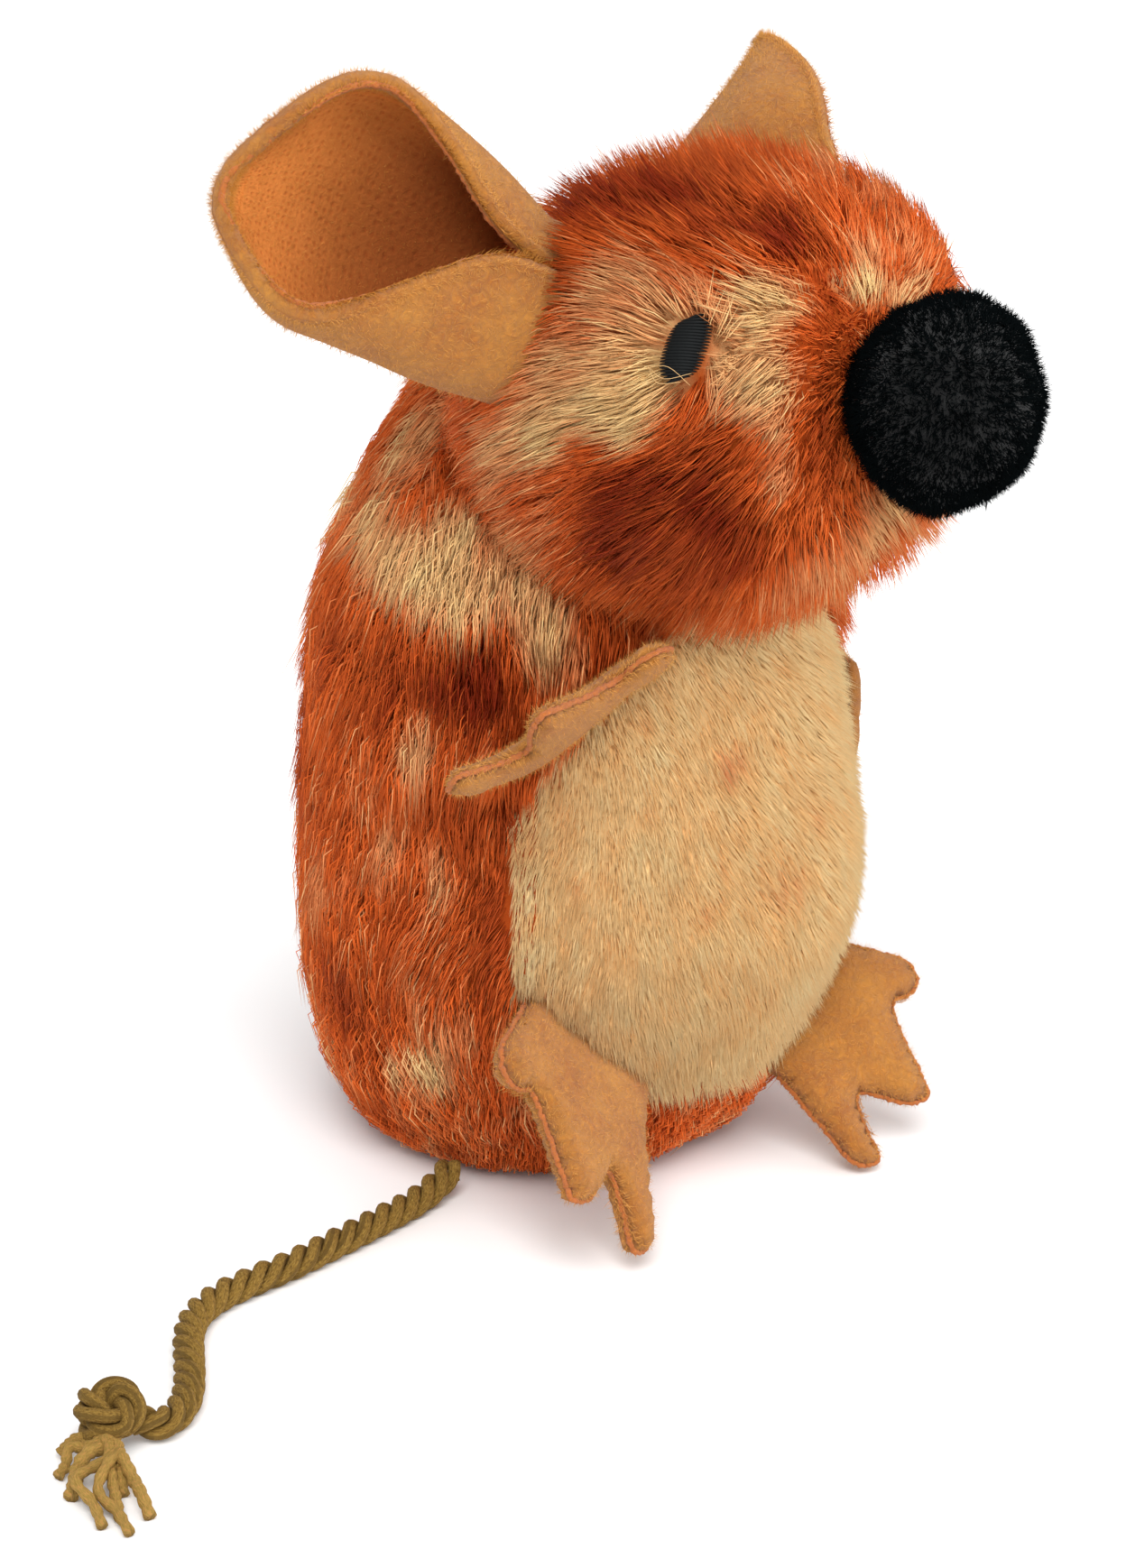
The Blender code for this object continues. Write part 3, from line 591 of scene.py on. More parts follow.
def felt_group():
    """Matted fibres: a mottled colour, and heights for a bump."""
    group, given, out = new_group(
        "felt fibres",
        [
            ("Base", COLOUR, (0.6, 0.3, 0.1, 1.0)),
            ("Mottle", COLOUR, (0.4, 0.2, 0.05, 1.0)),
            ("Scale", NUMBER, 900.0),
            ("Amount", NUMBER, 0.5),
        ],
        [("Color", COLOUR), ("Height", NUMBER)],
    )
    fibre = noise_texture(group, given["Scale"], Detail=6.0, Roughness=0.7, Distortion=1.5)
    cloud = noise_texture(group, 180.0, Detail=3.0)
    both = maths(group, "MULTIPLY", fibre, cloud)
    share = maths(group, "MULTIPLY", map_range(group, both, 0.12, 0.40), given["Amount"])
    set_inputs(group, out, {"Color": mix_colours(group, share, given["Base"], given["Mottle"]), "Height": fibre})
    return group


# Materials


def new_material(name, roughness, specular=0.5):
    material = bpy.data.materials.new(name)
    material.use_nodes = True
    tree = material.node_tree
    shader = tree.nodes["Principled BSDF"]
    set_inputs(tree, shader, {"Roughness": roughness, "Specular IOR Level": specular})
    return material, tree, shader


def pile_material(name, dark, middle, light, root_shade, tone_spread, gloss, sheen=0.0):
    material, tree, shader = new_material(name, 0.95 - gloss, gloss / 2)
    hair = use_group(
        tree, groups["pile"], Dark=plain(dark), Middle=plain(middle), Light=plain(light),
        Root_Shade=root_shade, Tone_Spread=tone_spread,
    )
    set_inputs(tree, shader, {
        "Base Color": hair["Color"], "Sheen Weight": sheen, "Sheen Roughness": 0.4, "Sheen Tint": plain(light),
    })
    return material


def felt_material(name, base, mottle, amount, scale):
    material, tree, shader = new_material(name, 0.95, 0.2)
    felt = use_group(tree, groups["felt"], Base=plain(base), Mottle=plain(mottle), Scale=scale, Amount=amount)
    set_inputs(tree, shader, {"Base Color": felt["Color"], "Sheen Weight": 0.15, "Sheen Roughness": 0.6})
    add_bump(tree, shader, felt["Height"], 0.9, 0.0006)
    return material


def cloth_material(name, dark, middle, light):
    """The backing under a pile, in the colours of the hairs that grow on it."""
    material, tree, shader = new_material(name, 0.9, 0.1)
    shade = use_group(
        tree, groups["pile"], Dark=plain(dark), Middle=plain(middle), Light=plain(light),
        Root_Shade=0.55, Tone_Spread=0.0,
    )
    weave = use_group(tree, groups["felt"], Scale=900.0)
    set_inputs(tree, shader, {"Base Color": shade["Color"]})
    add_bump(tree, shader, weave["Height"], 0.6, 0.0004)
    return material


def knit_material():
    """The knitted side of the felt: fine dots in rows, on the piece's own UV map, with painted shade down in its
    fold.
    """
    material, tree, shader = new_material("felt knit", 0.9, 0.2)
    felt = use_group(
        tree, groups["felt"], Base=plain("felt_knit"), Mottle=plain("felt_gold"), Scale=1100.0, Amount=0.5
    )
    weave = add_node(tree, "UVMap", uv_map="weave").outputs["UV"]
    dots = add_node(tree, "TexVoronoi", {"Vector": weave, "Scale": 1.0, "Randomness": 0.35}).outputs["Distance"]
    spot = maths(tree, "MULTIPLY", map_range(tree, dots, 0.10, 0.42, 1.0, 0.0), 0.55)
    dotted = mix_colours(tree, spot, felt["Color"], plain("felt_knit_dot"))
    # How far the sheet's rim is, in the rows of the weave
    place = add_node(tree, "SeparateXYZ", {"Vector": weave}).outputs
    across = maths(tree, "PINGPONG", place["X"], WEAVE_ACROSS / 2)
    rim = maths(tree, "MINIMUM", across, maths(tree, "SUBTRACT", WEAVE_ALONG, place["Y"]))
    # Painted shade down in the fold, fading near the rim; paler at the rim, with a faint stitched line along it
    fold = map_range(tree, place["Y"], 12.0, 33.0, 0.78, 0.0, "SMOOTHSTEP")
    inner = map_range(tree, rim, 2.0, 9.0, 0.2, 1.0, "SMOOTHSTEP")
    inside = mix_colours(tree, maths(tree, "MULTIPLY", fold, inner), dotted, plain("felt_fold_shade"))
    outer = map_range(tree, rim, 0.6, 2.4, 0.55, 0.0, "SMOOTHSTEP")
    paler = mix_colours(tree, outer, inside, plain("felt_tan"))
    stitched = maths(tree, "MULTIPLY", maths(tree, "COMPARE", rim, 2.6, 0.35), 0.45)
    set_inputs(tree, shader, {"Base Color": mix_colours(tree, stitched, paler, plain("cut_edge"))})
    add_bump(tree, shader, maths(tree, "MULTIPLY_ADD", spot, -0.6, felt["Height"]), 0.7, 0.0004)
    return material


def cord_material(name, dark, middle, light):
    """Twisted yarn: fine lengthwise fibres in darker and paler tones, on the piece's own UV map."""
    material, tree, shader = new_material(name, 0.85, 0.25)
    weave = add_node(tree, "UVMap", uv_map="weave").outputs["UV"]
    size = add_node(tree, "Mapping", {"Vector": weave, "Scale": (9.0, 1.2, 1.0)}).outputs["Vector"]
    fibre = noise_texture(tree, 3.0, size, Detail=5.0, Roughness=0.65)
    colour = colour_ramp(tree, fibre, (0.30, plain(dark)), (0.72, plain(light)), (0.50, plain(middle)))
    set_inputs(tree, shader, {"Base Color": colour})
    add_bump(tree, shader, fibre, 1.0, 0.0005)
    return material


def thread_material():
    material, tree, shader = new_material("black thread", 0.55, 0.15)
    fibre = noise_texture(tree, 2500.0)
    colour = colour_ramp(tree, fibre, (0.0, plain("nose_root")), (1.0, plain("nose_tip")))
    set_inputs(tree, shader, {"Base Color": colour})
    add_bump(tree, shader, fibre, 0.3, 0.0001)
    return material


def filling_material(name, base, mottle):
    """What the cloth holds: loose fibre, or dried leaves in a thin pouch."""
    material, tree, shader = new_material(name, 0.9)
    fibres = use_group(tree, groups["felt"], Base=plain(base), Mottle=plain(mottle), Scale=600.0, Amount=0.8)
    set_inputs(tree, shader, {"Base Color": fibres["Color"]})
    add_bump(tree, shader, fibres["Height"], 0.8, 0.0008)
    return material


def floor_material():
    material, tree, shader = new_material("paper floor", 0.9, 0.0)
    grain = noise_texture(tree, 60.0)
    colour = colour_ramp(tree, grain, (0.0, plain("floor")), (1.0, (1.0, 1.0, 1.0, 1.0)))
    set_inputs(tree, shader, {"Base Color": colour})
    return material


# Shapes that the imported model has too


def smooth_path(points, count):
    """Evenly spaced points on a smooth curve through the given ones."""
    knots = np.array(points, dtype=float)
    steps = np.linalg.norm(np.diff(knots, axis=0), axis=1)
    at = np.concatenate([[0.0], np.cumsum(steps)])
    slopes = np.gradient(knots, at, axis=0)
    fine = np.linspace(0.0, at[-1], count)
    cell = np.clip(np.searchsorted(at, fine, side="right") - 1, 0, len(at) - 2)
    width = (at[cell + 1] - at[cell])[:, None]
    t = (fine - at[cell])[:, None] / width
    start = (2 * t**3 - 3 * t**2 + 1) * knots[cell] + (t**3 - 2 * t**2 + t) * width * slopes[cell]
    end = (3 * t**2 - 2 * t**3) * knots[cell + 1] + (t**3 - t**2) * width * slopes[cell + 1]
    return start + end


def shrink_outline(outline, depth):
    tangent = np.gradient(outline, axis=0)
    tangent /= np.linalg.norm(tangent, axis=1)[:, None]
    normal = np.stack([tangent[:, 1], -tangent[:, 0]], axis=1)
    return outline - normal * depth


def turned_shape(outline, first, last, segments):
    """A closed shape turned about Z, from its first pole to its last."""
    bm = bmesh.new()
    points = [(0.0, first)] + [tuple(p) for p in outline] + [(0.0, last)]
    verts = [bm.verts.new((radius, 0.0, height)) for radius, height in points]
    edges = [bm.edges.new(pair) for pair in zip(verts, verts[1:])]
    bmesh.ops.spin(
        bm, geom=verts + edges, cent=(0, 0, 0), axis=(0, 0, 1), angle=math.tau, steps=segments, use_merge=True
    )
    bmesh.ops.remove_doubles(bm, verts=bm.verts, dist=1e-6)
    return bm


def place_body(point):
    radius = math.hypot(point.x, point.y)
    front = max(0.0, -point.y / radius) if radius > 0.0 else 0.0
    level = math.exp(-(((point.z - BELLY_HEIGHT) / BELLY_SPREAD) ** 2))
    grow = 1.0 + BELLY_BULGE * level * front**0.7 / max(radius, BASE_RADIUS)
    lean = max(0.0, 1.0 - point.z / LEAN_HEIGHT)
    return Vector((point.x * grow, point.y * grow + BASE_BACK * lean, point.z))


def place_head(point):
    side, up, forward = point.x, point.y, point.z
    radius = math.hypot(side, up)
    if up > 0.0 and radius > 0.0:
        power = CROWN_SQUARENESS
        spread = (abs(side / radius) ** power + abs(up / radius) ** power) ** (-1.0 / power)
        side *= spread
        up *= spread
    rise = (forward - HEAD_MIDDLE) * HEAD_RISE
    return Vector((side * HEAD_WIDTH, -forward, HEAD_HEIGHT + up + rise))


def head_point(side, angle, forward):
    outline = smooth_path(HEAD_OUTLINE, 200)
    radius = float(np.interp(forward, outline[:, 1], outline[:, 0]))
    ahead = float(np.interp(forward + 0.0005, outline[:, 1], outline[:, 0]))
    turn = math.radians(angle)
    point = place_head(Vector((side * radius * math.sin(turn), radius * math.cos(turn), forward)))
    slope = (ahead - radius) / 0.0005
    outward = Vector((side * math.sin(turn), slope, math.cos(turn))).normalized()
    return point, outward


def body_point(angle, height):
    outline = smooth_path(BODY_OUTLINE, 300)
    radius = float(np.interp(height, outline[:, 1], outline[:, 0]))
    turn = math.radians(angle)
    return place_body(Vector((-radius * math.sin(turn), -radius * math.cos(turn), height)))


def half_width(outline, height):
    """Half the width of a panel, from its outline, at each height."""
    table = np.array(outline)
    return np.interp(height, table[:, 1], table[:, 0], left=-1.0, right=table[-1, 0])


# Meshes and riding


def mesh_of(name, bm):
    data = bpy.data.meshes.new(name)
    bm.to_mesh(data)
    bm.free()
    return data


def add_piece(name, data, material):
    """A smooth object of a mesh, in the scene."""
    data.shade_smooth()
    data.materials.append(material)
    piece = bpy.data.objects.new(name, data)
    bpy.context.scene.collection.objects.link(piece)
    return piece


def finish_mesh(name, bm, material):
    bm.normal_update()
    bmesh.ops.recalc_face_normals(bm, faces=bm.faces)
    return add_piece(name, mesh_of(name, bm), material)


def absorb(bm, piece):
    """Takes the mesh of a piece over into another mesh."""
    bm.from_mesh(piece.data)
    bpy.data.objects.remove(piece)


def places_of(data):
    points = np.empty(len(data.vertices) * 3)
    data.vertices.foreach_get("co", points)
    return points.reshape(-1, 3)


def arrays_of(piece):
    """Points and triangles of a piece with its modifiers applied."""
    graph = bpy.context.evaluated_depsgraph_get()
    evaluated = piece.evaluated_get(graph)
    mesh = evaluated.to_mesh()
    mesh.calc_loop_triangles()
    points = places_of(mesh)
    faces = np.empty(len(mesh.loop_triangles) * 3, dtype=np.int32)
    mesh.loop_triangles.foreach_get("vertices", faces)
    evaluated.to_mesh_clear()
    return points, faces.reshape(-1, 3)


def in_order(points, faces):
    """Triangles in an order that their places alone decide, because merging numbers them anew each run."""
    rank = np.empty(len(points), dtype=int)
    rank[np.lexsort(points.T)] = np.arange(len(points))
    first = rank[faces].argmin(axis=1)[:, None]
    faces = np.take_along_axis(faces, (first + np.arange(3)) % 3, axis=1)
    return faces[np.lexsort(rank[faces].T)]


def vertex_normals(points, faces):
    a, b, c = (points[faces[:, k]] for k in range(3))
    across = np.cross(b - a, c - a)
    normals = np.zeros_like(points)
    for k in range(3):
        np.add.at(normals, faces[:, k], across)
    return normals / np.maximum(np.linalg.norm(normals, axis=1)[:, None], 1e-12)


def keep_at(piece, body, bend=None):
    """A piece rides on its body; given a bend, it only has its placing baked into its mesh."""
    if bend is None:
        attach(piece, body)
    else:
        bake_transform(piece)


# Cloth panels


def blow_up(bm, name, seam_distance):
    """Blows a closed cloth up like a stuffed toy, so that it stays in at its seams."""
    still = finish_mesh(name, bm, materials["under_cloth"])
    mesh = still.data
    start, faces = arrays_of(still)
    faces = in_order(start, faces)
    held = still.vertex_groups.new(name="held")
    for index, distance in enumerate(seam_distance(start)):
        held.add([index], float(np.clip(1.0 - distance / SEAM_WIDTH, 0.0, 1.0)), "REPLACE")
    cloth = still.modifiers.new("cloth", "CLOTH")
    cloth.settings.vertex_group_mass = "held"
    cloth.settings.use_pressure = True
    cloth.settings.uniform_pressure_force = 4.0
    cloth.settings.effector_weights.gravity = 0.0
    cloth.settings.quality = 4
    scene = bpy.context.scene
    for step in range(1, 16):
        scene.frame_set(step)
    moved, _ = arrays_of(still)
    still.modifiers.remove(cloth)
    scene.frame_set(1)
    shift = moved - start
    length = np.linalg.norm(shift, axis=1)[:, None]
    shift *= np.minimum(1.0, CLOTH_SWELL / np.maximum(length, 1e-9))
    mesh.vertices.foreach_set("co", (start + shift).ravel())
    mesh.update()
    still.vertex_groups.clear()
    return still, start, faces


def body_seams(points):
    """Distance of body points from the nearest seam."""
    x, y, z = points.T
    width = half_width(BELLY_OUTLINE, z)
    front = y < 0.004
    belly = np.where(front & (z > BELLY_OUTLINE[0][1]), np.abs(np.abs(x) - width), 1.0)
    bottom = np.where(front & (np.abs(x) < 0.012), np.abs(z - 0.0128), 1.0)
    spine = np.where((y > 0.0) | (z < 0.0128), np.abs(x), 1.0)
    base = np.where(z < 0.001, 0.0, 1.0)
    return np.minimum.reduce([belly, bottom, spine, base])


def head_seams(points):
    x, y, z = points.T
    table = np.array(GUSSET_OUTLINE)
    width = np.interp(-y, table[:, 1], table[:, 0])
    crown = np.where(z > HEAD_HEIGHT, np.abs(np.abs(x) - width), 1.0)
    chin = np.where(z <= HEAD_HEIGHT, np.abs(x), 1.0)
    return np.minimum(crown, chin)


def in_belly(points, spare=0.0):
    """Whether points are on the belly panel, or within this much of it."""
    x, y, z = points.T
    return (y < 0.0) & (np.abs(x) < half_width(BELLY_OUTLINE, z) + spare)


def in_gusset(points):
    x, y, z = points.T
    table = np.array(GUSSET_OUTLINE)
    return (z > HEAD_HEIGHT) & (np.abs(x) < np.interp(-y, table[:, 1], table[:, 0]))


def in_base(points):
    x, y, z = points.T
    return (z < 0.0008) & (np.hypot(x, y - BASE_BACK) < BASE_RADIUS)


def paint(data, shade):
    """Writes the coat's shade to a cloth panel, for the pile colour group."""
    count = len(data.vertices)
    tint = np.empty((count, 4), dtype=np.float32)
    tint[:, 0] = shade * 0.5 + 0.5
    tint[:, 1] = 0.5
    tint[:, 2] = 0.5
    tint[:, 3] = 1.0
    write_tint(data, tint)


def write_tint(data, tint):
    colour = data.color_attributes.new("hair", "FLOAT_COLOR", "POINT")
    colour.data.foreach_set("color", tint.reshape(-1))


def cut_panel(whole, name, wanted, slot, material, node):
    """One panel of the cloth: the faces whose middles are wanted, given a wall."""
    bm = bmesh.new()
    bm.from_mesh(whole.data)
    middles = np.array([list(face.calc_center_median()) for face in bm.faces])
    keep = wanted(middles)
    bm.faces.ensure_lookup_table()
    spare = [face for face, kept in zip(bm.faces, keep) if not kept]
    bmesh.ops.delete(bm, geom=spare, context="FACES")
    data = mesh_of(name, bm)
    points = places_of(data)
    paint(data, coat_shade(points) if slot == "fur_cloth" else np.full(len(points), 0.3))
    panel = add_piece(name, data, material)
    wall = panel.modifiers.new("wall", "SOLIDIFY")
    wall.thickness = CLOTH_WALL
    wall.offset = -1.0
    keep_at(panel, "body")
    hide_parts(node)


def make_body_cloth():
    outline = shrink_outline(smooth_path(BODY_OUTLINE, BODY_RINGS), CLOTH_INSET)
    bm = turned_shape(outline, 0.0, BODY_TOP - CLOTH_INSET, BODY_TURNS)
    for vert in bm.verts:
        vert.co = place_body(vert.co)
        vert.co.z = max(vert.co.z, 0.0004)
    whole, start, faces = blow_up(bm, "body_cloth", body_seams)
    rules = {
        "belly_cloth": (in_belly, "short_plush", "belly_cloth", "belly_panel"),
        "base_cloth": (in_base, "fur_cloth", "under_cloth", "base_panel"),
        "back_cloth_right": (
            lambda p: ~in_belly(p) & ~in_base(p) & (p[:, 0] < 0.0), "fur_cloth", "under_cloth", "back_panel_right"
        ),
        "back_cloth_left": (
            lambda p: ~in_belly(p) & ~in_base(p) & (p[:, 0] >= 0.0), "fur_cloth", "under_cloth", "back_panel_left"
        ),
    }
    for name, (wanted, slot, material, node) in rules.items():
        cut_panel(whole, name, wanted, slot, materials[material], node)
    points, _ = arrays_of(whole)
    bpy.data.objects.remove(whole)
    return points, faces, start


def make_head_cloth():
    outline = shrink_outline(smooth_path(HEAD_OUTLINE, HEAD_RINGS), CLOTH_INSET)
    bm = turned_shape(outline, HEAD_BACK + CLOTH_INSET, HEAD_FRONT - CLOTH_INSET, HEAD_TURNS)
    for vert in bm.verts:
        vert.co = place_head(vert.co)
    whole, start, faces = blow_up(bm, "head_cloth", head_seams)
    rules = {
        "gusset_cloth": (in_gusset, "forehead_gusset"),
        "cheek_cloth_right": (lambda p: ~in_gusset(p) & (p[:, 0] < 0.0), "cheek_right"),
        "cheek_cloth_left": (lambda p: ~in_gusset(p) & (p[:, 0] >= 0.0), "cheek_left"),
    }
    for name, (wanted, node) in rules.items():
        cut_panel(whole, name, wanted, "fur_cloth", materials["under_cloth"], node)
    points, _ = arrays_of(whole)
    bpy.data.objects.remove(whole)
    return points, faces, start


# Pile


def hair_template(bent):
    """One hair: a thin closed cone, with a ring at its middle where it bends."""
    bm = bmesh.new()
    bmesh.ops.create_cone(bm, cap_ends=True, segments=3, radius1=1.0, radius2=0.0, depth=1.0)
    bmesh.ops.remove_doubles(bm, verts=bm.verts, dist=1e-6)
    bmesh.ops.translate(bm, verts=bm.verts, vec=(0.0, 0.0, 0.5))
    if bent:
        geometry = bm.verts[:] + bm.edges[:] + bm.faces[:]
        bmesh.ops.bisect_plane(bm, geom=geometry, plane_co=(0.0, 0.0, 0.5), plane_no=(0.0, 0.0, 1.0))
    bmesh.ops.triangulate(bm, faces=bm.faces[:])
    bmesh.ops.recalc_face_normals(bm, faces=bm.faces)
    points = np.array([list(vert.co) for vert in bm.verts])
    bm.verts.ensure_lookup_table()
    faces = np.array([[vert.index for vert in face.verts] for face in bm.faces])
    bm.free()
    return points, faces


def unit(vectors):
    return vectors / np.maximum(np.linalg.norm(vectors, axis=-1, keepdims=True), 1e-9)


def scatter(points, faces, start, count, seed, wanted=None):
    """Random places on a surface, its normals there, and the same places before the cloth was blown up.

    Places are picked before it was, so a last digit of the simulation changes none of them.
    """
    chance = np.random.default_rng(seed)
    normals = vertex_normals(points, faces)
    a, b, c = (start[faces[:, k]] for k in range(3))
    area = np.linalg.norm(np.cross(b - a, c - a), axis=1) / 2
    if wanted is not None:
        area = area * wanted((a + b + c) / 3)
    pick = chance.choice(len(faces), size=count, p=area / area.sum())
    u, v = chance.random((2, count))
    over = u + v > 1.0
    u[over] = 1.0 - u[over]
    v[over] = 1.0 - v[over]
    shares = np.stack([1.0 - u - v, u, v], axis=1)[:, :, None]
    places = (points[faces[pick]] * shares).sum(axis=1)
    spots = (start[faces[pick]] * shares).sum(axis=1)
    return places, unit((normals[faces[pick]] * shares).sum(axis=1)), spots


def noise_at(places, scale, offset=0.0):
    """Smooth noise from about -1 to 1 at each place."""
    shift = Vector((offset, offset * 0.7, -offset))
    return np.array([noise(Vector(place) * scale + shift) for place in places])


def gathered(places, ends, size, share, seed):
    """Draws the ends of neighbouring hairs together into locks."""
    chance = np.random.default_rng(seed)
    spacing = max(1, int(len(places) * size**2 / LOCK_AREA))
    leaders = chance.choice(len(places), size=max(len(places) // spacing, 8), replace=False)
    tree = KDTree(len(leaders))
    for index, leader in enumerate(leaders):
        tree.insert(places[leader], index)
    tree.balance()
    own = np.array([leaders[tree.find(place)[1]] for place in places])
    pull = share * chance.uniform(0.3, 1.0, len(places))[:, None]
    reach = ends - places
    target = places[own] + unit(reach[own]) * np.linalg.norm(reach, axis=1)[:, None]
    return ends + (target - ends) * pull


def grow_hair(name, places, normals, flow, pile, shades, seed, body, material, leaf_out=None, bend=None):
    """Builds hairs at places, laid along flow, as closed meshes of a limited size."""
    chance = np.random.default_rng(seed)
    spec = PILES[pile]
    count = len(places)
    lift = np.radians(spec["lift"] + chance.normal(0.0, 8.0, count))[:, None]
    settle = np.radians(spec["settle"] + chance.normal(0.0, 8.0, count))[:, None]
    if leaf_out is not None:
        lift = lift + leaf_out[:, None] * 0.5
        settle = settle + leaf_out[:, None]
    guard_and_glint = chance.random(count) < GUARD_AND_GLINT_SHARE
    length = spec["length"] * chance.uniform(0.62, 1.10, count) * shades["length"] * np.where(guard_and_glint, 1.18, 1.0)
    length = length[:, None]
    swirl = chance.normal(0.0, 0.15, count)[:, None]
    side = np.cross(normals, flow)
    lay = unit(flow + side * swirl)
    first = normals * np.sin(lift) + lay * np.cos(lift)
    second = normals * np.sin(settle) + lay * np.cos(settle)
    middle = places + first * length * 0.45
    end = middle + second * length * 0.55
    middle = gathered(places, middle, CLUMP_SIZE[pile], CLUMPING[pile] * 0.35, seed + 1)
    end = gathered(places, end, CLUMP_SIZE[pile], CLUMPING[pile], seed + 1)
    if spec["bent"]:
        end = gathered(places, end, CLUMP_SIZE[pile] * TUFT, CLUMPING[pile] * 0.6, seed + 2)
    end[:, 2] = np.maximum(end[:, 2], FLOOR_GAP)
    middle[:, 2] = np.maximum(middle[:, 2], FLOOR_GAP)
    template, faces = hair_template(spec["bent"])
    level = template[:, 2]
    side = unit(np.cross(end - places, normals) + side * 1e-6)
    other = unit(np.cross(side, end - places))
    radius = spec["width"] / 2 * chance.uniform(0.7, 1.3, count)[:, None]
    thickness = (1.0, 1.9, 0.0)  # the template's own cone is thinner at its middle
    verts = np.empty((count, len(template), 3))
    for spot, (x, y, z) in enumerate(template):
        k = int(round(z * 2))
        stem = (places - normals * HAIR_ROOT, middle, end)[k]
        verts[:, spot] = stem + (side * x + other * y) * radius * thickness[k]
    # Guard hairs are painted paler: partly their own colour, partly painted glints
    shade = np.where(guard_and_glint, np.minimum(shades["shade"] + 0.45, 1.0), shades["shade"])
    tint = np.empty((count, len(template), 4), dtype=np.float32)
    tint[..., 0] = (shade * 0.5 + 0.5)[:, None]
    tint[..., 1] = level[None, :]
    tint[..., 2] = chance.random(count)[:, None]
    tint[..., 3] = 1.0
    order = np.argsort(np.round(places[:, 2] / 0.02) * 10 + np.arctan2(places[:, 0], -places[:, 1]))
    pieces = math.ceil(count / (BENT_PER_PIECE if spec["bent"] else STRAIGHT_PER_PIECE))
    for part, members in enumerate(np.array_split(order, pieces)):
        label = name if pieces == 1 else f"{name}_{part + 1}"
        piece = hair_piece(label, verts[members], tint[members], faces, material)
        keep_at(piece, body, bend)


def hair_piece(name, verts, tint, faces, material):
    count, corners = verts.shape[:2]
    data = bpy.data.meshes.new(name)
    all_faces = (faces[None] + (np.arange(count) * corners)[:, None, None]).reshape(-1, 3)
    data.vertices.add(count * corners)
    data.vertices.foreach_set("co", verts.reshape(-1).astype(np.float32))
    data.loops.add(len(all_faces) * 3)
    data.loops.foreach_set("vertex_index", all_faces.reshape(-1).astype(np.int32))
    data.polygons.add(len(all_faces))
    data.polygons.foreach_set("loop_start", np.arange(len(all_faces), dtype=np.int32) * 3)
    data.update(calc_edges=True)
    write_tint(data, tint)
    return add_piece(name, data, material)


def coat_shade(places):
    """The coat's shade at each place: its patches, smaller flecks between them, and painted shade at the pinches.
    """
    shade = np.zeros(len(places))
    weight = np.full(len(places), 0.25)
    for centre, tall, wide, value in PATCHES:
        gap = places - np.array(centre)
        level = (gap[:, 2] / tall) ** 2 + (np.hypot(gap[:, 0], gap[:, 1]) / wide) ** 2
        share = np.exp(-(level**1.5))
        shade += share * value
        weight += share
    base = noise_at(places * np.array([1.0, 1.0, 0.55]), 190.0, 3.0)
    fine = noise_at(places * np.array([1.0, 1.0, 0.5]), 520.0, 9.0)
    shade = shade / np.maximum(weight, 1.0) * 1.15
    shade += base * 0.40 + fine * 0.40 - 0.05
    # Painted shade in the dimples of the pinches
    for place in PINCHES:
        near = np.linalg.norm(places - np.array(place), axis=1) / PINCH_REACH
        shade -= np.exp(-(near**2)) * 1.6
    return np.clip(shade, -1.0, 1.0)


def tangent_to(direction, normals):
    direction = direction - normals * (direction * normals).sum(axis=1, keepdims=True)
    return unit(direction)


def in_sight(points):
    """Whether points of the body are outside the head, which covers the body's top in front."""
    return (points[:, 2] < 0.088) | (points[:, 1] > 0.002)


def make_body_fur(surface):
    places, normals, spots = scatter(
        *surface, PILES["body"]["count"], 11, lambda p: ~in_belly(p) & (p[:, 2] > 0.0010) & in_sight(p)
    )
    keep = ~in_belly(spots, OVER_SEAM)
    places, normals = places[keep], normals[keep]
    down = np.tile([0.0, 0.0, -1.0], (len(places), 1))
    twist = noise_at(places, 70.0, 5.0)[:, None] * 0.55
    flow = tangent_to(down + np.cross(normals, down) * twist, normals)
    seam = body_seams(places)
    short = np.clip(0.50 + seam / 0.010, 0.50, 1.0)
    low = np.clip(0.40 + places[:, 2] / 0.022, 0.40, 1.0)
    top = np.clip(1.0 - (places[:, 2] - 0.072) / 0.030, 0.6, 1.0)
    uneven = 1.0 + noise_at(places, 240.0, 12.0) * 0.22
    shades = {"shade": coat_shade(places + flow * SEEN_AT), "length": short * low * top * uneven}
    puff = noise_at(places, 120.0, 8.0) * 0.22 - np.clip(1.0 - places[:, 2] / 0.034, 0.0, 1.0) * 0.65
    grow_hair("body_fur", places, normals, flow, "body", shades, 21, "body", materials["fur"], puff)


def beside_eyes(places, flow, eyes):
    """Cuts short the hairs that would lie over an eye."""
    full = PILES["head"]["length"]
    share = np.ones(len(places))
    for eye in eyes:
        gap = eye - places
        ahead = (gap * flow).sum(axis=1)
        aside = np.linalg.norm(gap - flow * ahead[:, None], axis=1)
        room = np.clip((np.abs(ahead) - EYE_LENGTH * 0.30) / full, 0.12, 1.0)
        over = (ahead > -EYE_LENGTH * 0.1) & (ahead < full + EYE_LENGTH) & (aside < EYE_LENGTH * 0.40)
        share = np.where(over, np.minimum(share, room), share)
    return share


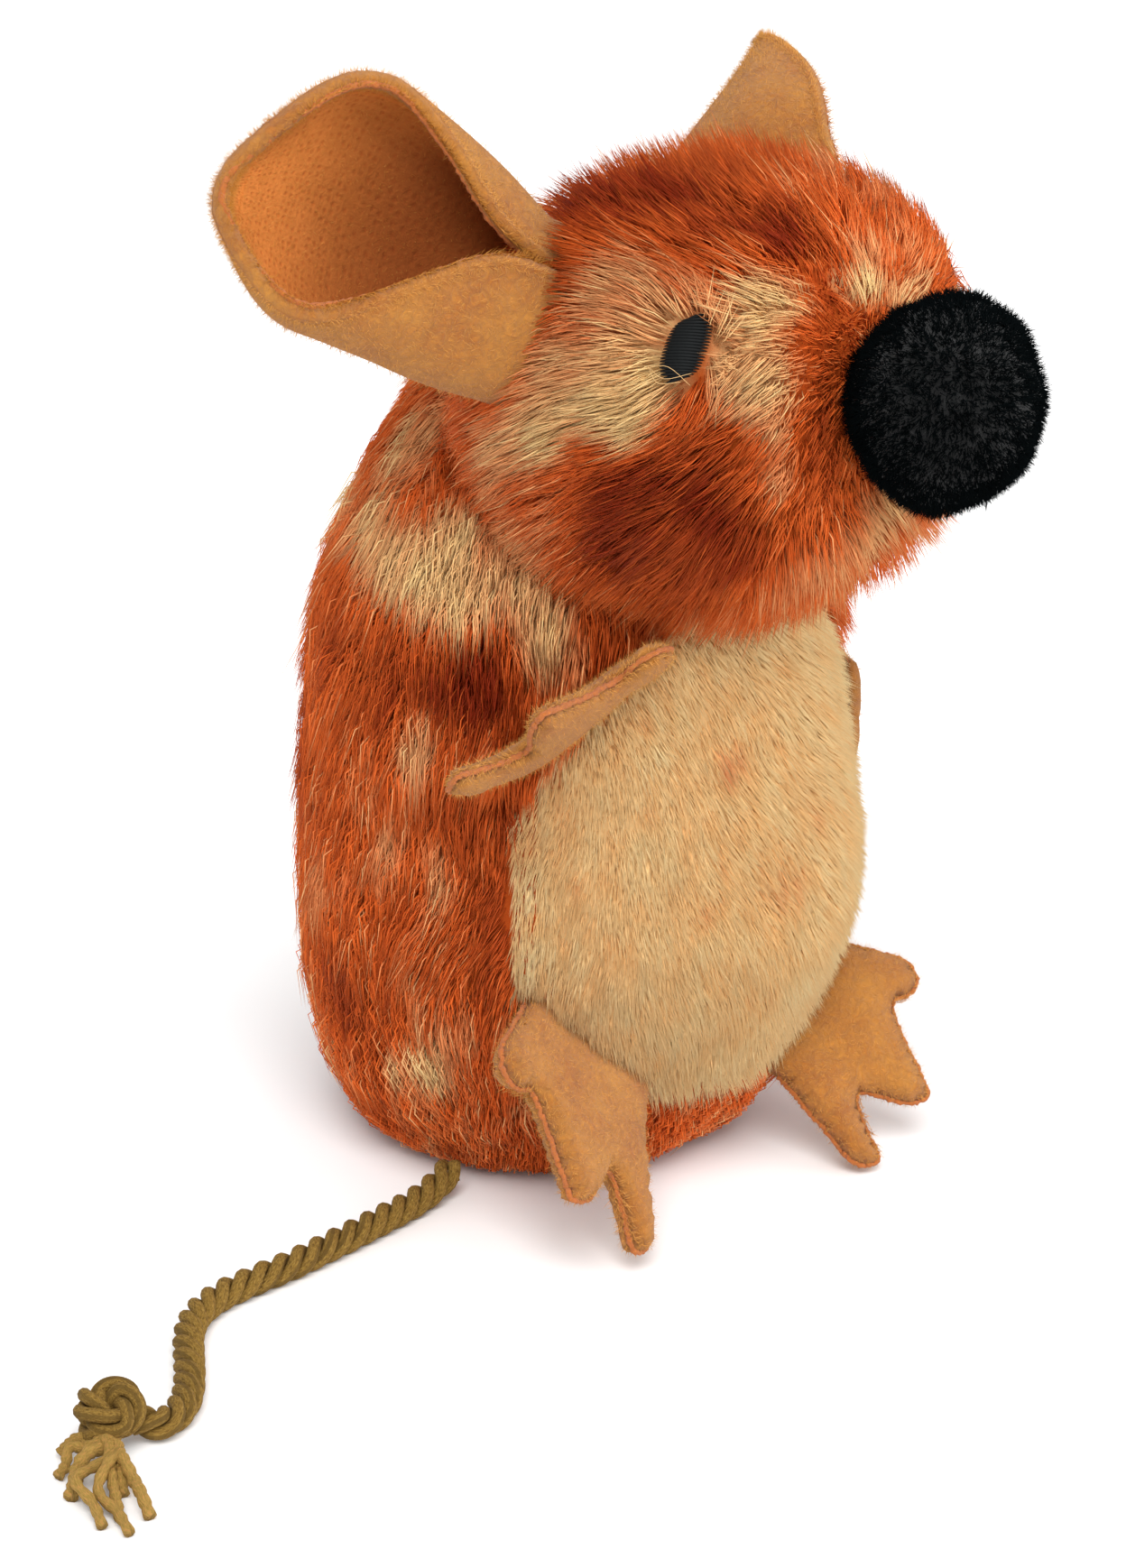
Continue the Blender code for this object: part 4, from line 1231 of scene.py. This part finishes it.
def make_head_fur(surface):
    eyes = [np.array(head_point(side, EYE_ANGLE, EYE_FORWARD)[0]) for side in (-1, 1)]
    nose = np.array([0.0, -NOSE_FORWARD, NOSE_HEIGHT])
    places, normals, spots = scatter(*surface, PILES["head"]["count"], 31, lambda p: p[:, 1] > -0.0425)
    keep = np.linalg.norm(spots - nose, axis=1) > NOSE_RADIUS
    for eye in eyes:
        gap = spots - eye
        beside = np.hypot(gap[:, 0], gap[:, 1])
        keep &= np.hypot(beside / (EYE_WIDTH * 0.44), gap[:, 2] / (EYE_LENGTH * 0.44)) > 1.0
    places, normals = places[keep], normals[keep]
    away = places - (nose + np.array([0.0, 0.0, -0.002]))
    crown = np.clip((places[:, 2] - 0.1040) / 0.007, 0.0, 1.0)[:, None]
    fall = np.array([0.0, 0.0, -0.5])
    twist = noise_at(places, 80.0, 15.0)[:, None] * 0.5
    flow = unit(away) + fall * (1.0 - crown)
    flow = flow + np.cross(normals, unit(away)) * twist
    for eye in eyes:
        gap = places - eye
        near = np.linalg.norm(gap, axis=1)[:, None] / EYE_PARTING
        flow = flow + unit(gap) * np.exp(-(near**2)) * 2.2
    flow = tangent_to(flow, normals)
    seam = head_seams(places)
    short = np.clip(0.55 + seam / 0.006, 0.55, 1.0)
    front = np.clip((0.0440 + places[:, 1]) / 0.012 + 0.35, 0.35, 1.0)
    chin = np.clip((0.0890 - places[:, 2]) / 0.005, 0.0, 1.0) * np.clip((-places[:, 1] - 0.028) / 0.008, 0.0, 1.0)
    front = np.maximum(front, chin)
    throat = np.clip((0.0800 - places[:, 2]) / 0.006, 0.0, 1.0)
    length = short * front * beside_eyes(places, flow, eyes)
    for place in PINCHES:
        near = np.linalg.norm(places - np.array(place), axis=1) / PINCH_REACH
        length = length * (1.0 - 0.6 * np.exp(-(near**2)))
    shades = {"shade": coat_shade(places + flow * SEEN_AT), "length": length}
    forward = np.clip((places[:, 1] + 0.036) / 0.016, 0.25, 1.0)
    puff = crown[:, 0] * 0.75 * forward + noise_at(places, 130.0, 18.0) * 0.22
    puff += np.maximum(chin * 0.7, throat * 0.6)
    grow_hair("head_fur", places, normals, flow, "head", shades, 41, "body", materials["fur"], puff)


def make_belly_pile(surface):
    places, normals, _ = scatter(
        *surface, PILES["belly"]["count"], 51, lambda p: in_belly(p, OVER_SEAM) & (p[:, 2] < 0.082)
    )
    down = np.tile([0.0, 0.0, -1.0], (len(places), 1))
    twist = noise_at(places, 110.0, 25.0)[:, None] * 0.5
    flow = tangent_to(down + np.cross(normals, down) * twist, normals)
    blush = np.zeros(len(places))
    for centre in BLUSHES:
        gap = np.linalg.norm(places - np.array(centre), axis=1)
        blush += np.exp(-((gap / BLUSH_REACH) ** 2)) * 1.3
    fine = noise_at(places * np.array([1.0, 1.0, 0.45]), 620.0, 31.0)
    shade = 0.30 + noise_at(places, 160.0, 30.0) * 0.35 + fine * 0.60 - blush
    shades = {"shade": np.clip(shade, -1.0, 1.0), "length": np.ones(len(places))}
    puff = noise_at(places, 260.0, 28.0) * 0.35
    grow_hair(
        "belly_pile", places, normals, flow, "belly", shades, 61, "body", materials["belly_pile"], puff
    )


# Nose and eyes


def nose_ball(name, radius, material, rough):
    bm = bmesh.new()
    bmesh.ops.create_icosphere(bm, subdivisions=5, radius=radius)
    for vert in bm.verts:
        bump = noise(vert.co * 260.0) * rough + noise(vert.co * 95.0) * rough * 1.9
        vert.co *= 1.0 + bump
        vert.co = Vector((vert.co.x, -vert.co.z * NOSE_DEPTH - NOSE_FORWARD, NOSE_HEIGHT + vert.co.y * NOSE_TALL))
    return finish_mesh(name, bm, material)


def make_nose():
    ball = nose_ball("nose_ball", NOSE_RADIUS + 0.0003, materials["nose_cloth"], 0.05)
    keep_at(ball, "body")
    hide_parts("nose_cover")
    points, faces = arrays_of(ball)
    places, normals, _ = scatter(points, faces, points, PILES["nose"]["count"], 71)
    keep = places[:, 1] < -0.0425
    places, normals = places[keep], normals[keep]
    chance = np.random.default_rng(72)
    flow = tangent_to(chance.normal(0.0, 1.0, places.shape) + np.array([0.0, 0.3, -0.5]), normals)
    shade = np.clip(noise_at(places, 300.0, 40.0) * 0.8, -1.0, 1.0)
    shades = {"shade": shade, "length": 1.0 + noise_at(places, 420.0, 44.0) * 0.45}
    grow_hair("nose_pile", places, normals, flow, "nose", shades, 73, "body", materials["nose_pile"])


def make_eye(name, side):
    """Satin stitches laid side by side over a small pad."""
    point, outward = head_point(side, EYE_ANGLE, EYE_FORWARD)
    up = Vector((0, 0, 1)) - outward * outward.z
    up.normalize()
    up.rotate(Matrix.Rotation(math.radians(side * STITCH_SLANT), 3, outward))
    across = up.cross(outward)
    turn = Matrix((across, up, outward)).transposed().to_4x4()
    bm = bmesh.new()
    thread = EYE_LENGTH / STITCHES * 0.72
    for number in range(STITCHES):
        level = (number + 0.5) / STITCHES * 2.0 - 1.0
        reach = EYE_WIDTH / 2 * (1.0 - abs(level) ** 3.2) ** 0.5
        lean = level * EYE_WIDTH * 0.02
        made = bmesh.ops.create_uvsphere(bm, u_segments=8, v_segments=10, radius=1.0)["verts"]
        for vert in made:
            x, y, z = vert.co
            rise = 0.0010 * (1.0 - z * z) ** 0.5 * (1.0 - 0.55 * level * level) + 0.0009
            vert.co = Vector((
                z * reach + lean,
                level * EYE_LENGTH / 2 + y * thread + z * 0.0005,
                x * thread + rise,
            ))
    bmesh.ops.transform(bm, matrix=Matrix.Translation(point) @ turn, verts=bm.verts)
    eye = finish_mesh(name + "_stitches", bm, materials["thread"])
    keep_at(eye, "body")
    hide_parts(name)
    add_strays(name, point, turn, side)


def add_strays(name, point, turn, side):
    """Fine pale hairs that cross the eye."""
    chance = np.random.default_rng(140 + side)
    bm = bmesh.new()
    for number in range(STRAYS):
        level = chance.choice([-0.75, -0.6, 0.7, 0.85])
        start = Vector((-0.7, level, 0.0)) * EYE_WIDTH
        end = Vector((chance.uniform(-0.2, 0.4), level + chance.uniform(-0.2, 0.2), 0.0)) * EYE_WIDTH
        middle = (start + end) / 2 + Vector((0.0, chance.uniform(-0.3, 0.3) * EYE_WIDTH, 0.0))
        start.z, middle.z, end.z = 0.0012, 0.0027, 0.0016
        path = smooth_path([tuple(start), tuple(middle), tuple(end)], 9)
        stray = tube(f"stray_{number}", path, STRAY_RADIUS, 4, materials["fur"])
        absorb(bm, stray)
    bmesh.ops.transform(bm, matrix=Matrix.Translation(point) @ turn, verts=bm.verts)
    strays = finish_mesh(name + "_stray_hairs", bm, materials["fur"])
    paint(strays.data, np.full(len(strays.data.vertices), 0.85))
    keep_at(strays, "body")


# Ears


def ear_frame(word):
    spec = EARS[word]
    side = -1.0 if word == "right" else 1.0
    point, _ = head_point(side, spec["angle"], spec["forward"])
    out = Vector(spec["out"]).normalized()
    facing = Vector(spec["facing"])
    facing = (facing - out * facing.dot(out)).normalized()
    across = facing.cross(out) * -side
    return point, out, across.normalized(), facing


def ear_section(place, fold, count):
    table = smooth_path(EAR_STATIONS, 90)
    row = [float(np.interp(place, table[:, 0], table[:, k])) for k in range(1, table.shape[1])]
    up, down, upper_fold, lower_fold, depth, rim = row
    upper_fold *= fold
    lower_fold *= fold
    points = [
        (-up + upper_fold, 0.75 * rim),
        (-up + 0.15 * upper_fold, 0.42 * rim),
        (-0.93 * up, -0.2 * depth),
        (-0.55 * up, -0.75 * depth),
        (0.0, -depth),
        (0.55 * down, -0.75 * depth),
        (0.95 * down, -0.1 * depth),
        (down - 0.1 * lower_fold, 0.4 * rim),
        (down - 0.45 * lower_fold, 0.8 * rim),
        (down - lower_fold, rim),
    ]
    return smooth_path(points, count)


def ear_surface(word):
    """The ear's middle surface: rows from the seam to the tip, columns from rim to rim."""
    spec = EARS[word]
    root, out, across, facing = (np.array(list(v)) for v in ear_frame(word))
    rows = []
    for step in range(EAR_ALONG + 1):
        share = step / EAR_ALONG
        place = EAR_ROOT + (1.0 - EAR_ROOT) * (1.0 - (1.0 - share) ** 1.35)
        section = ear_section(max(place, 0.0), spec["fold"], EAR_ACROSS + 1)
        section = section * (spec["squeeze"], spec["deepen"])
        wave = 0.0004 * math.sin(share * 9.0 + 1.0)
        inward = np.linspace(-1.0, 1.0, EAR_ACROSS + 1)[:, None]
        reach = EAR_LENGTH * place + TIP_BULGE * (1.0 - inward**2) * share**4
        rows.append(root + out * reach + section[:, :1] * across + (section[:, 1:] + wave) * facing)
    return round_tip(np.array(rows))


def round_tip(middle):
    """Eases the ear's surface near the tip's two corners, so that its outline runs round them."""
    near = np.zeros(middle.shape[:2])
    for corner in (middle[-1, 0], middle[-1, -1]):
        gap = np.linalg.norm(middle - corner, axis=2)
        near = np.maximum(near, np.exp(-((gap / TIP_ROUNDING) ** 2)))
    for _ in range(TIP_EASING):
        eased = middle.copy()
        eased[1:-1, 1:-1] = (middle[:-2, 1:-1] + middle[2:, 1:-1] + middle[1:-1, :-2] + middle[1:-1, 2:]) / 4
        eased[-1, 1:-1] = (middle[-1, :-2] + middle[-1, 2:]) / 2
        for column, inner in ((0, 1), (-1, -2)):
            eased[1:-1, column] = (middle[:-2, column] + middle[2:, column]) / 2
            eased[-1, column] = (middle[-2, column] + middle[-1, inner]) / 2
        middle = middle + (eased - middle) * near[:, :, None]
    return middle


def ease_normals(middle):
    normal = unit(np.cross(np.gradient(middle, axis=1), np.gradient(middle, axis=0)))
    straight = normal[-1].mean(axis=0)
    place = np.linspace(0.0, 1.0, len(middle))[:, None, None]
    return unit(normal + straight * place**2 * 1.2)


def felt_sheet(name, middle, offset, thickness, material):
    """A felt layer at an offset from a middle surface, with a wall and a rounded rim."""
    rows, columns = middle.shape[:2]
    bm = bmesh.new()
    bmesh.ops.create_grid(bm, x_segments=columns - 1, y_segments=rows - 1, size=1.0, calc_uvs=True)
    points = middle + ease_normals(middle) * offset
    layer = bm.loops.layers.uv.new("weave")
    bm.verts.ensure_lookup_table()
    at = {}
    for vert in bm.verts:
        i = round((vert.co.y + 1.0) / 2 * (rows - 1))
        j = round((vert.co.x + 1.0) / 2 * (columns - 1))
        at[vert.index] = (i, j)
    for face in bm.faces:
        for corner in face.loops:
            i, j = at[corner.vert.index]
            corner[layer].uv = (j / (columns - 1) * WEAVE_ACROSS, i / (rows - 1) * WEAVE_ALONG)
    for vert in bm.verts:
        i, j = at[vert.index]
        vert.co = Vector(points[i, j])
    sheet = add_piece(name, mesh_of(name, bm), material)
    wall = sheet.modifiers.new("wall", "SOLIDIFY")
    wall.thickness = thickness
    wall.offset = 0.0
    wall.use_even_offset = False
    soft = sheet.modifiers.new("soft", "SUBSURF")
    soft.levels = 1
    soft.render_levels = 1
    return sheet


def fuzz_places(middle, offset, count, seed, rim_share):
    """Places for fuzz on one side of a felt sheet, more of them along its rim."""
    chance = np.random.default_rng(seed)
    rows, columns = middle.shape[:2]
    normal = ease_normals(middle)
    i = chance.uniform(0.12, 1.0, count) * (rows - 1)
    j = chance.random(count) * (columns - 1)
    on_rim = chance.random(count) < rim_share
    which = chance.integers(0, 3, count)
    j = np.where(on_rim & (which == 0), 0.0, j)
    j = np.where(on_rim & (which == 1), columns - 1.001, j)
    i = np.where(on_rim & (which == 2), rows - 1.001, i)
    a = np.minimum(i.astype(int), rows - 2)
    b = np.minimum(j.astype(int), columns - 2)
    u = (i - a)[:, None]
    v = (j - b)[:, None]

    def sample(grid):
        low = grid[a, b] * (1 - v) + grid[a, b + 1] * v
        high = grid[a + 1, b] * (1 - v) + grid[a + 1, b + 1] * v
        return low * (1 - u) + high * u

    out = unit(sample(normal)) * np.sign(offset)
    return sample(middle) + out * abs(offset), out


def rim_places(rim, across, reach, count, seed):
    """Places for fuzz over a raw edge, as far to both sides as reach, and the directions it stands in."""
    chance = np.random.default_rng(seed)
    steps = np.linalg.norm(np.diff(rim, axis=0), axis=1)
    picks = chance.choice(len(steps), size=count, p=steps / steps.sum())
    share = chance.random(count)[:, None]
    spread = chance.uniform(-1.0, 1.0, count)[:, None]
    seam = rim[picks] * (1.0 - share) + rim[picks + 1] * share
    side = np.broadcast_to(across, rim.shape)[picks]
    outward = tangent_to(seam - rim.mean(axis=0), side)
    places = seam + spread * side * reach - outward * 0.0002 * (1.0 + spread**2)
    return places, unit(outward + spread * side * 1.4)


def add_fuzz(name, places, normals, body, bend, material, seed, length):
    """Short fibres that stand off felt."""
    chance = np.random.default_rng(seed)
    count = len(places)
    flow = tangent_to(chance.normal(0.0, 1.0, (count, 3)), normals)
    shades = {"shade": chance.uniform(-0.5, 0.7, count), "length": np.full(count, length)}
    grow_hair(name, places, normals, flow, "felt", shades, seed, body, material, None, bend)


def along_rim(grid, inset):
    """The values of a grid round the ear's free rim, this many rows in."""
    return np.concatenate([grid[3:, inset], grid[-1 - inset, 1:], grid[-2:2:-1, -1 - inset]])


def make_ear(word):
    middle = ear_surface(word)
    root, out, _, _ = ear_frame(word)
    side = 1.0 if word == "left" else -1.0
    step = side * (EAR_FELT + LAYER_GAP) / 2
    names = {"lining": step, "back": -step}
    body = "ear_" + word
    bend = {"start": root + out * 0.0005, "end": root + out * 0.0065}
    knit = felt_sheet(f"ear_{word}_knit_layer", middle, names["lining"], EAR_FELT, materials["knit"])
    nap = felt_sheet(f"ear_{word}_nap_layer", middle, names["back"], EAR_FELT, materials["felt"])
    keep_at(knit, body, bend)
    keep_at(nap, body, bend)
    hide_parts(f"ear_{word}_lining")
    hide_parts(f"ear_{word}_back")
    rim = along_rim(middle, 0)
    outward = unit(rim - along_rim(middle, 1))
    inside = along_rim(ease_normals(middle), 0) * side
    both = EAR_FELT * 2 + LAYER_GAP
    roll = raw_edge(f"ear_{word}_rolled_edge", rim, both * 1.02, 0.03, seed_for(word), materials["felt"])
    line = rim + (outward * 0.80 + inside * 0.60) * (both * 0.5 - EDGE_LINE * 0.12)
    edge = raw_edge(f"ear_{word}_cut_edge", line, EDGE_LINE, 0.16, seed_for(word) + 1, materials["cut_edge"])
    keep_at(roll, body, bend)
    keep_at(edge, body, bend)
    fuzz = PILES["felt"]["count"]
    places, normals = fuzz_places(middle, names["back"] * 1.8, fuzz * 3, 81, 0.35)
    add_fuzz(f"ear_{word}_nap_fuzz", places, normals, body, bend, materials["fuzz"], 82, 1.2)
    places, normals = fuzz_places(middle, names["lining"] * 1.8, fuzz * 2, 83, 0.30)
    add_fuzz(f"ear_{word}_knit_fuzz", places, normals, body, bend, materials["knit_fuzz"], 84, 0.8)
    across = unit(np.cross(np.gradient(rim, axis=0), rim - rim.mean(axis=0)))
    places, normals = rim_places(rim + outward * both * 0.3, across, EAR_FELT, fuzz * 2, 85)
    add_fuzz(f"ear_{word}_rim_fuzz", places, normals, body, bend, materials["knit_fuzz"], 86, 1.0)


def tube(name, path, radius, sides, material):
    """A round tube along a path, with closed ends and a UV map along it."""
    points = np.array(path)
    tangent = unit(np.gradient(points, axis=0))
    normal = np.cross(tangent[0], [0.0, 0.0, 1.0])
    if np.linalg.norm(normal) < 0.2:
        normal = np.cross(tangent[0], [1.0, 0.0, 0.0])
    bm = bmesh.new()
    ring = bmesh.ops.create_circle(bm, cap_ends=True, segments=sides, radius=1.0)["verts"]
    shape = [vert.co.copy() for vert in ring]
    loops = [ring]
    for _ in points[1:]:
        made = bmesh.ops.create_circle(bm, cap_ends=False, segments=sides, radius=1.0)["verts"]
        loops.append(made)
    radii = np.broadcast_to(radius, len(points))
    for index, loop in enumerate(loops):
        normal = normal - tangent[index] * (normal @ tangent[index])
        normal = normal / np.linalg.norm(normal)
        other = np.cross(tangent[index], normal)
        for vert, corner in zip(loop, shape):
            vert.co = Vector(points[index] + (normal * corner.x + other * corner.y) * radii[index])
    for low, high in zip(loops, loops[1:]):
        for k in range(sides):
            m = (k + 1) % sides
            bm.faces.new((low[k], low[m], high[m], high[k]))
    bm.faces.new(loops[-1])
    layer = bm.loops.layers.uv.new("weave")
    at = {}
    for index, loop in enumerate(loops):
        for k, vert in enumerate(loop):
            at[vert] = (k / sides, index * 0.25)
    for face in bm.faces:
        for corner in face.loops:
            corner[layer].uv = at[corner.vert]
    return finish_mesh(name, bm, material)


def raw_edge(name, rim, width, rough, seed, material):
    """The raw edge of felt: a rough round line along its rim."""
    chance = np.random.default_rng(seed)
    path = smooth_path(rim, EDGE_KNOTS)
    path[1:-1] += chance.normal(0.0, width * rough * 0.5, (EDGE_KNOTS - 2, 3))
    radius = width / 2 * chance.uniform(1.0 - rough, 1.0 + rough, EDGE_KNOTS)
    return tube(name, path, radius, 8, material)


# Paws


def paw_frame(paw):
    spec = PAWS[paw]
    turn = math.radians(spec["angle"])
    root = body_point(spec["angle"], spec["height"])
    root += Vector((-math.sin(turn), -math.cos(turn), 0.0)) * spec["lift"]
    along = Vector(spec["along"]).normalized()
    out = Vector(spec["out"])
    out = (out - along * out.dot(along)).normalized()
    return root, out, along


def paw_bend(paw, n, s):
    """How far the paw's plane is bent out of flat."""
    return PAW_BEND[paw] * (max(n, 0.0) / 0.016) ** 2 + 0.0004 * math.sin(s * 300.0)


def paw_outline(paw):
    return smooth_path(PAW_OUTLINE + PAW_OUTLINE[:1], 120)[:-1] * PAWS[paw]["size"]


def distance_to_loop(points, loop):
    """Distance of flat points from a closed outline."""
    along = np.roll(loop, -1, axis=0) - loop
    t = ((points[:, None] - loop) * along).sum(axis=2) / (along * along).sum(axis=1)
    nearest = loop + np.clip(t, 0.0, 1.0)[:, :, None] * along
    return np.linalg.norm(points[:, None] - nearest, axis=2).min(axis=1)


def paw_pad(name, paw, facing, material):
    """One puffed felt layer of a paw, flat where it meets the other."""
    root, out, along = paw_frame(paw)
    normal = out.cross(along).normalized()
    loop = paw_outline(paw)
    bm = bmesh.new()
    face = bm.faces.new([bm.verts.new((n, s, 0.0)) for n, s in loop])
    for thickness in (0.00012, 0.00022, 0.00034):
        bmesh.ops.inset_region(bm, faces=[face], thickness=thickness, use_even_offset=True)
    for direction in ((1.0, 0.0, 0.0), (0.0, 1.0, 0.0)):
        for step in np.arange(-0.0160, 0.0240, 0.0011):
            geometry = bm.verts[:] + bm.edges[:] + bm.faces[:]
            place = Vector(direction) * float(step)
            bmesh.ops.bisect_plane(bm, geom=geometry, plane_co=place, plane_no=direction, dist=1e-6)
    bmesh.ops.triangulate(bm, faces=[part for part in bm.faces if len(part.verts) > 4])
    top = bm.verts[:]
    bmesh.ops.duplicate(bm, geom=bm.verts[:] + bm.edges[:] + bm.faces[:])
    flat = np.array([[vert.co.x, vert.co.y] for vert in top])
    depth = distance_to_loop(flat, loop)
    curve = np.sqrt(np.maximum(1.0 - (1.0 - np.minimum(depth / PAD_ROUNDING, 1.0)) ** 2, 0.0))
    rise = PAD_THICKNESS * curve + PAD_PUFF * (1.0 - np.exp(-((depth / 0.0030) ** 2)))
    for vert, height, inward in zip(top, rise, depth):
        lump = noise(Vector((vert.co.x, vert.co.y, facing)) * 330.0) * 0.0003
        vert.co.z = float(height * PAD_SHARE[paw] + lump * min(inward / PAD_ROUNDING, 1.0))
    bmesh.ops.remove_doubles(bm, verts=bm.verts, dist=2e-6)
    for vert in bm.verts:
        n, s, t = vert.co
        vert.co = root + out * n + along * s + normal * (facing * (t + 0.00010) + paw_bend(paw, n, s))
    return finish_mesh(name, bm, material)


def paw_rim(paw):
    """The seam line round a paw, from one side of its root to the other."""
    root, out, along = paw_frame(paw)
    normal = out.cross(along).normalized()
    loop = paw_outline(paw)
    loop = np.roll(loop, -int(np.argmin(loop[:, 0])), axis=0)
    loop = loop[loop[:, 0] > -0.0005]
    return np.array([list(root + out * n + along * s + normal * paw_bend(paw, n, s)) for n, s in loop])


def make_paw(paw):
    root, out, along = paw_frame(paw)
    normal = np.array(list(out.cross(along).normalized()))
    bend = {"start": root + out * 0.0002, "end": root + out * 0.0045}
    seed = seed_for(paw)
    rim = paw_rim(paw)
    edge = raw_edge(f"{paw}_cut_edge", rim, PAW_EDGE, 0.2, seed, materials["cut_edge"])
    keep_at(edge, paw, bend)
    count = PILES["felt"]["count"]
    seam, facing_out = rim_places(rim, normal, PAD_THICKNESS * 0.8 * PAD_SHARE[paw], count // 2, seed)
    places = [seam]
    normals = [facing_out]
    for word, facing in (("upper", 1.0), ("under", -1.0)):
        pad = paw_pad(f"{paw}_{word}_pad", paw, facing, materials["felt"])
        keep_at(pad, paw, bend)
        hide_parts(f"{paw}_{word}")
        points, faces = arrays_of(pad)
        skin, facing_out, _ = scatter(points, faces, points, count, seed + len(places))
        places.append(skin)
        normals.append(facing_out)
    places = np.concatenate(places)
    normals = np.concatenate(normals)
    add_fuzz(f"{paw}_fuzz", places, normals, paw, bend, materials["fuzz"], seed, 0.9)


def seed_for(word):
    """A fixed number for a name, to seed its scatter."""
    return sum(ord(letter) * (place + 3) for place, letter in enumerate(word)) % 9973


# Tail


def plies_along(route, name, material, steps):
    """Three twisted strands along a route, as one mesh."""
    centre = smooth_path(route, steps)
    tangent = unit(np.gradient(centre, axis=0))
    length = np.concatenate([[0.0], np.cumsum(np.linalg.norm(np.diff(centre, axis=0), axis=1))])
    normal = np.cross(tangent[0], [0.0, 0.0, 1.0])
    normals = []
    for direction in tangent:
        normal = normal - direction * (normal @ direction)
        normal = normal / np.linalg.norm(normal)
        normals.append(normal)
    normals = np.array(normals)
    other = np.cross(tangent, normals)
    plies = []
    for ply in range(3):
        turn = ply * math.tau / 3 - length / CORD_PITCH * math.tau
        off = (normals * np.cos(turn)[:, None] + other * np.sin(turn)[:, None]) * CORD_PLY
        radius = CORD_DIAMETER / 2 - CORD_PLY
        plies.append(tube(f"{name}_ply_{ply + 1}", centre + off, radius, 10, material))
    bm = bmesh.new()
    for ply in plies:
        absorb(bm, ply)
    whole = finish_mesh(name, bm, material)
    return whole, centre, length[-1]


def make_tail():
    route = smooth_path(TAIL_ROUTE, CORD_POINTS)
    cord, centre, length = plies_along(route, "tail_twist", materials["cord"], 220)
    knot, _, _ = plies_along(KNOT_ROUTE, "knot_twist", materials["cord"], 130)
    fringe = make_fringe()
    for piece in (cord, knot, fringe):
        keep_at(piece, "tail")
    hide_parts("tail_cord")
    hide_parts("tail_knot")


def make_fringe():
    """The cord's end, unlaid into loose yarns that fan out over the floor."""
    chance = np.random.default_rng(90)
    start = np.array(KNOT_END)
    bm = bmesh.new()
    for number, end in enumerate(FRAYED_ENDS):
        goal = np.array([*end, 0.0007])
        across = np.cross(goal - start, [0.0, 0.0, 1.0]) * float(chance.uniform(-0.16, 0.16))
        points = [start + chance.normal(0.0, 0.0005, 3)]
        for step in (0.2, 0.4, 0.6, 0.8, 1.0):
            bow = across * math.sin(step * math.pi * 2.6)
            rise = float(chance.uniform(0.0, 0.0012)) * math.sin(step * math.pi)
            points.append(start + (goal - start) * step + bow + np.array([0.0, 0.0, rise]))
        path = smooth_path(points, 26)
        radius = float(chance.uniform(0.00055, 0.00075))
        path[:, 2] = np.maximum(path[:, 2], radius)
        wave = radius * (1.0 + 0.16 * np.sin(np.arange(26) * 2.1))
        yarn = tube(f"yarn_{number}", path, wave, 8, materials["cord"])
        absorb(bm, yarn)
    return finish_mesh("frayed_end", bm, materials["yarn"])


# All of it

groups = {"pile": pile_group(), "felt": felt_group()}
materials = {
    "fur": pile_material("rust and cream fur", "fur_dark", "fur_rust", "fur_cream", 0.82, 0.30, 0.32),
    "under_cloth": cloth_material("fur backing", "fur_dark", "fur_rust", "fur_cream"),
    "belly_pile": pile_material("cream pile", "belly_blush", "belly_shadow", "belly", 0.88, 0.20, 0.10, 0.35),
    "belly_cloth": cloth_material("belly backing", "belly_blush", "belly_shadow", "belly"),
    "nose_pile": pile_material("black pile", "nose_root", "nose_tip", "nose_tip", 0.8, 0.3, 0.01, 0.1),
    "nose_cloth": felt_material("nose backing", "nose_root", "nose_tip", 0.4, 700.0),
    "felt": felt_material("tan felt nap", "felt_tan", "felt_gold", 0.85, 1000.0),
    "fuzz": pile_material("felt fuzz", "felt_tan", "felt_fibre", "felt_fibre", 1.0, 0.2, 0.15),
    "knit_fuzz": pile_material("knit fuzz", "felt_knit", "felt_tan", "felt_fibre", 1.0, 0.2, 0.15),
    "knit": knit_material(),
    "cut_edge": felt_material("felt cut edge", "cut_edge", "felt_knit_dot", 0.35, 1500.0),
    "thread": thread_material(),
    "cord": cord_material("twisted ochre cord", "cord_dark", "cord", "cord_light"),
    "yarn": cord_material("loose yarn", "cord", "cord_light", "yarn_end"),
    "fibre": filling_material("white filling fibre", "filling", "floor"),
    "herb": filling_material("dried herb pouch", "herb", "herb_pale"),
}

STUFFINGS = {"body_filling": "fibre", "head_filling": "fibre", "nose_filling": "fibre", "catnip_sachet": "herb"}
for node_name, stuffing in STUFFINGS.items():
    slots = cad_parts[node_name].data.materials
    slots.clear()
    slots.append(materials[stuffing])

place_camera()
light_studio()
add_floor()
make_tail()
body_surface = make_body_cloth()
head_surface = make_head_cloth()
make_body_fur(body_surface)
make_head_fur(head_surface)
make_belly_pile(body_surface)
make_nose()
for eye_name, eye_side in (("eye_right", -1), ("eye_left", 1)):
    make_eye(eye_name, eye_side)
for ear_word in ("right", "left"):
    make_ear(ear_word)
for paw_name in PAWS:
    make_paw(paw_name)
